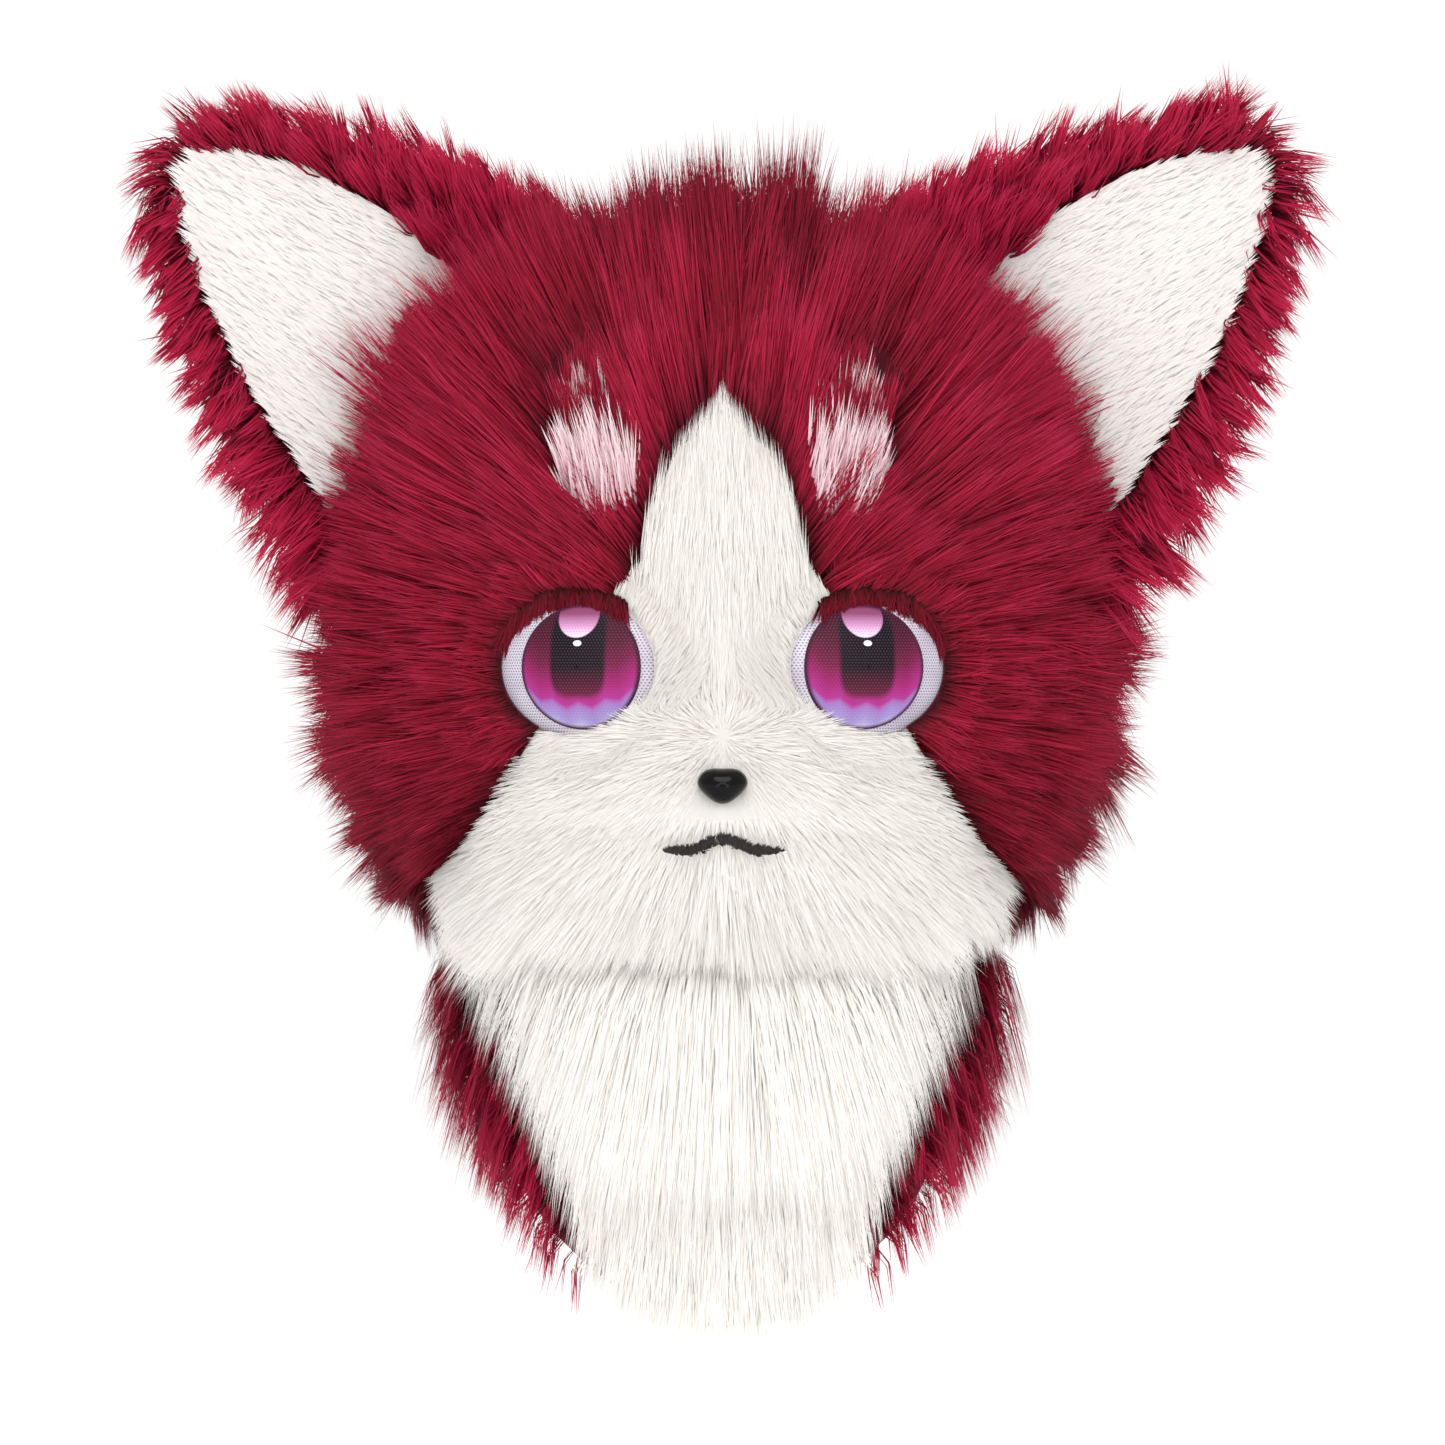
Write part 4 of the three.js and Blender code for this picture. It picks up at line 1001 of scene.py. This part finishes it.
def mesh_holes(tree):
    """One in the holes of the mesh and nought on its threads. Each row is set over by half a hole from the
    row below it."""
    across = math_node(tree, "MULTIPLY", attribute(tree, "across"), IRIS_HALF_WIDTH / MESH_PITCH)
    up = math_node(tree, "MULTIPLY", attribute(tree, "up"), IRIS_HALF_HEIGHT / MESH_PITCH / 0.87)
    row = math_node(tree, "FLOOR", up)
    shifted = math_node(tree, "ADD", across, math_node(tree, "MULTIPLY", row, 0.5))
    x = math_node(tree, "SUBTRACT", math_node(tree, "FRACT", shifted), 0.5)
    z = math_node(tree, "SUBTRACT", math_node(tree, "FRACT", up), 0.5)
    distance = hypot(tree, x, z)
    return ramp(tree, distance, ((0.2, (1, 1, 1, 1)), (0.34, (0, 0, 0, 1))))


def hypot(tree, x, z):
    squares = [math_node(tree, "MULTIPLY", value, value) for value in (x, z)]
    return math_node(tree, "SQRT", math_node(tree, "ADD", *squares))


def spot(tree, across, up, centre, half_width, half_height):
    """Distance from the middle of an oval in the iris, as a share of the oval's size."""
    x = math_node(tree, "DIVIDE", math_node(tree, "SUBTRACT", across, centre[0]), half_width)
    z = math_node(tree, "DIVIDE", math_node(tree, "SUBTRACT", up, centre[1]), half_height)
    return hypot(tree, x, z)


def block(tree, across, up, centre, half_width, half_height):
    """Like spot, for a block with round corners."""
    total = None
    for value, middle, half in ((across, centre[0], half_width), (up, centre[1], half_height)):
        share = math_node(tree, "DIVIDE", math_node(tree, "SUBTRACT", value, middle), half)
        power = math_node(tree, "POWER", math_node(tree, "ABSOLUTE", share), 4.0)
        total = math_node(tree, "ADD", total, power) if total else power
    return math_node(tree, "POWER", total, 0.25)


def inside(tree, distance, soft=0.1):
    return ramp(tree, distance, ((1 - soft, (1, 1, 1, 1)), (1.0, (0, 0, 0, 1))))


def iris_material():
    """The printed iris: dark burgundy above, a near-black pupil, magenta round it, lavender below with a
    jagged border, and a round highlight near the top with a glint under it."""
    material, tree, shader = new_material("iris_print")
    up = attribute(tree, "up")
    across = attribute(tree, "across")
    aside = math_node(tree, "MULTIPLY", across, across)
    jag = math_node(tree, "PINGPONG", math_node(tree, "MULTIPLY", across, 4.5), 1.0)
    level = math_node(tree, "ADD", up, math_node(tree, "MULTIPLY", jag, 0.1))
    level = math_node(tree, "SUBTRACT", level, math_node(tree, "MULTIPLY", aside, 0.3))
    bands = ramp(tree, math_node(tree, "MULTIPLY_ADD", level, 0.5, 0.5), (
        (0.0, srgb(186, 176, 208)), (0.1, srgb(148, 136, 188)), (0.19, srgb(146, 108, 172)),
        (0.23, srgb(160, 44, 128)), (0.34, srgb(144, 28, 98)), (0.5, srgb(102, 20, 56)),
        (0.68, srgb(74, 14, 36)), (1, srgb(46, 8, 20))))
    column = block(tree, across, up, (0, 0.22), 0.5, 0.76)
    core = ramp(tree, math_node(tree, "MULTIPLY_ADD", up, 0.5, 0.5), (
        (0.22, srgb(106, 24, 60)), (0.36, srgb(70, 18, 36)), (0.5, srgb(24, 12, 16)), (0.8, srgb(12, 9, 12)),
        (1, srgb(36, 10, 18))))
    colour = mix_colours(tree, "MIX", inside(tree, column, 0.14), bands, core)
    moon = spot(tree, across, up, (-0.03, 0.82), 0.35, 0.36)
    pale = ramp(tree, math_node(tree, "MULTIPLY", math_node(tree, "SUBTRACT", up, 0.48), 2.0), (
        (0.05, srgb(222, 200, 222)), (0.35, srgb(196, 140, 182)), (0.75, srgb(134, 64, 102))))
    colour = mix_colours(tree, "MIX", inside(tree, moon, 0.06), colour, pale)
    glint = spot(tree, across, up, (0, 0.38), 0.075, 0.05)
    colour = mix_colours(tree, "MIX", inside(tree, glint, 0.15), colour, srgb(235, 230, 236))
    out = hypot(tree, across, up)
    rim = ramp(tree, out, ((0.93, (0, 0, 0, 1)), (0.98, (1, 1, 1, 1))))
    colour = mix_colours(tree, "MIX", rim, colour, srgb(58, 18, 44))
    holes = mesh_holes(tree)
    colour = mix_colours(tree, "MIX", math_node(tree, "MULTIPLY", holes, 0.3), colour, srgb(98, 84, 104))
    tree.links.new(colour, shader.inputs["Base Color"])
    shader.inputs["Specular IOR Level"].default_value = 0.1
    shader.inputs["Roughness"].default_value = 0.5
    bump(tree, shader, holes, 0.2, 0.0002)
    return material


def build_nose():
    """A rounded triangle with a domed front, a little hollow along its top, as smooth as moulded plastic."""
    low, high = (np.array(corner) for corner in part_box("nose"))
    half_width = (high[0] - low[0]) / 2
    half_height = (high[2] - low[2]) / 2
    centre = np.array((0, low[1] + NOSE_BULGE, (low[2] + high[2]) / 2))
    angle = np.arange(NOSE_COLUMNS) / NOSE_COLUMNS * 2 * math.pi
    x, z = np.sin(angle), np.cos(angle)
    x = np.where(z > 0, np.sign(x) * np.abs(x) ** 0.6, x)
    pinch = 1 - 0.34 * smoothstep(-z, -0.3, 1)
    notch = np.where(z > 0, 0.03 * np.exp(-(x / 0.3) ** 2), 0)
    outline = np.stack((half_width * x * pinch, np.zeros_like(x), half_height * z * (1 - notch)), axis=-1)
    rings = [outline * 0.96 + (0, NOSE_BACK, 0)]
    for step in np.linspace(0, math.pi / 2, 14):
        rings.append(outline * math.cos(step) ** 0.8 - (0, NOSE_BULGE * math.sin(step), 0))
    points = np.concatenate(rings) + centre
    faces = ring_faces(len(rings), NOSE_COLUMNS)
    made = mesh_object("nose_gloss", points, faces, (), nose_material())
    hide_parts("nose")


def build_mouth():
    """Short dark stitches, close together along the mouth's line, which thins out to its ends."""
    points, faces = node_mesh("mouth")
    _, normals = face_places(points, faces)
    front = Patch(points, faces[normals[:, 1] < -0.4])
    columns = np.unique(np.round(front.points[:, 0], 4))
    heights = [front.points[np.abs(front.points[:, 0] - column) < 0.0008, 2].mean() for column in columns]
    half_length = columns.max()
    front.points = front.points + STITCH_SINK

    def in_line(places):
        off = np.abs(places[:, 2] - np.interp(places[:, 0], columns, heights))
        taper = 1 - np.clip(np.abs(places[:, 0]) / half_length, 0, 1) ** 5
        ragged = 1 + 0.25 * np.sin(places[:, 0] * 4100) * np.sin(places[:, 0] * 1700)
        return off < MOUTH_HALF * taper * ragged

    fur("mouth_stitches", front, lambda p: np.tile((0.35, 0, 1.0), (len(p), 1)), even(STITCH_DEPTH),
        STITCH_LOOK, stitching_material(), ["mouth"], 2600, 21, keep=in_line)


def build_plain_parts():
    """The nodes whose own shape shows: foam and cloth."""
    foam = foam_material()
    for name in FOAM:
        dress(name, foam)
    dress("neck_sleeve", sleeve_material())


def dress(node, material):
    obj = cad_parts[node]
    obj.data.materials.clear()
    obj.data.materials.append(material)


def sweep(material):
    """A floor that curves up into the backdrop, so that no edge shows behind the object."""
    bend = np.linspace(0, math.pi / 2, 17)
    profile = [(-FLOOR_REACH, FLOOR)]
    profile += [(BEND + BEND_RADIUS * math.sin(a), FLOOR + BEND_RADIUS * (1 - math.cos(a))) for a in bend]
    profile.append((BEND + BEND_RADIUS, FLOOR + WALL))
    points = np.array([(x, y, z) for y, z in profile for x in (-FLOOR_REACH, FLOOR_REACH)])
    faces = []
    for row in range(0, len(points) - 2, 2):
        faces.extend(((row, row + 1, row + 3), (row, row + 3, row + 2)))
    mesh_object("floor_sweep", points, np.array(faces), (), material)


def build_stage():
    """A pale floor and backdrop, soft light, and the camera level with the cheeks."""
    material, _, shader = new_material("backdrop")
    shader.inputs["Base Color"].default_value = (0.9, 0.9, 0.9, 1)
    shader.inputs["Roughness"].default_value = 0.9
    shader.inputs["Emission Color"].default_value = (1, 1, 1, 1)
    shader.inputs["Emission Strength"].default_value = 0.14
    sweep(material)

    world = bpy.data.worlds.new("studio")
    bpy.context.scene.world = world
    world.use_nodes = True
    world.node_tree.nodes["Background"].inputs[0].default_value = (1, 1, 1, 1)
    world.node_tree.nodes["Background"].inputs[1].default_value = 0.92
    bpy.context.scene.view_settings.view_transform = "Standard"

    for name, place, size, power in LIGHTS:
        light = bpy.data.lights.new(name, "AREA")
        light.shape = "DISK"
        light.size = size
        light.energy = power
        lamp = bpy.data.objects.new(name, light)
        lamp.location = place
        lamp.rotation_euler = (Vector((0, 0, -0.1)) - Vector(place)).to_track_quat("-Z", "Y").to_euler()
        bpy.context.collection.objects.link(lamp)

    camera = bpy.data.cameras.new("camera")
    camera.lens = LENS
    camera.sensor_width = 36
    camera.clip_end = 40
    eye = bpy.data.objects.new("camera", camera)
    eye.location = CAMERA
    eye.rotation_euler = (math.pi / 2, 0, 0)
    bpy.context.collection.objects.link(eye)
    bpy.context.scene.camera = eye


crimson = crimson_fur()
white = white_fur()
build_head(crimson, white)
build_neck(crimson, white)
plush = plush_material()
for side, sign in SIDES.items():
    build_ear(side, sign, crimson, plush)
build_eyes(crimson, white)
build_nose()
build_mouth()
build_plain_parts()
build_stage()
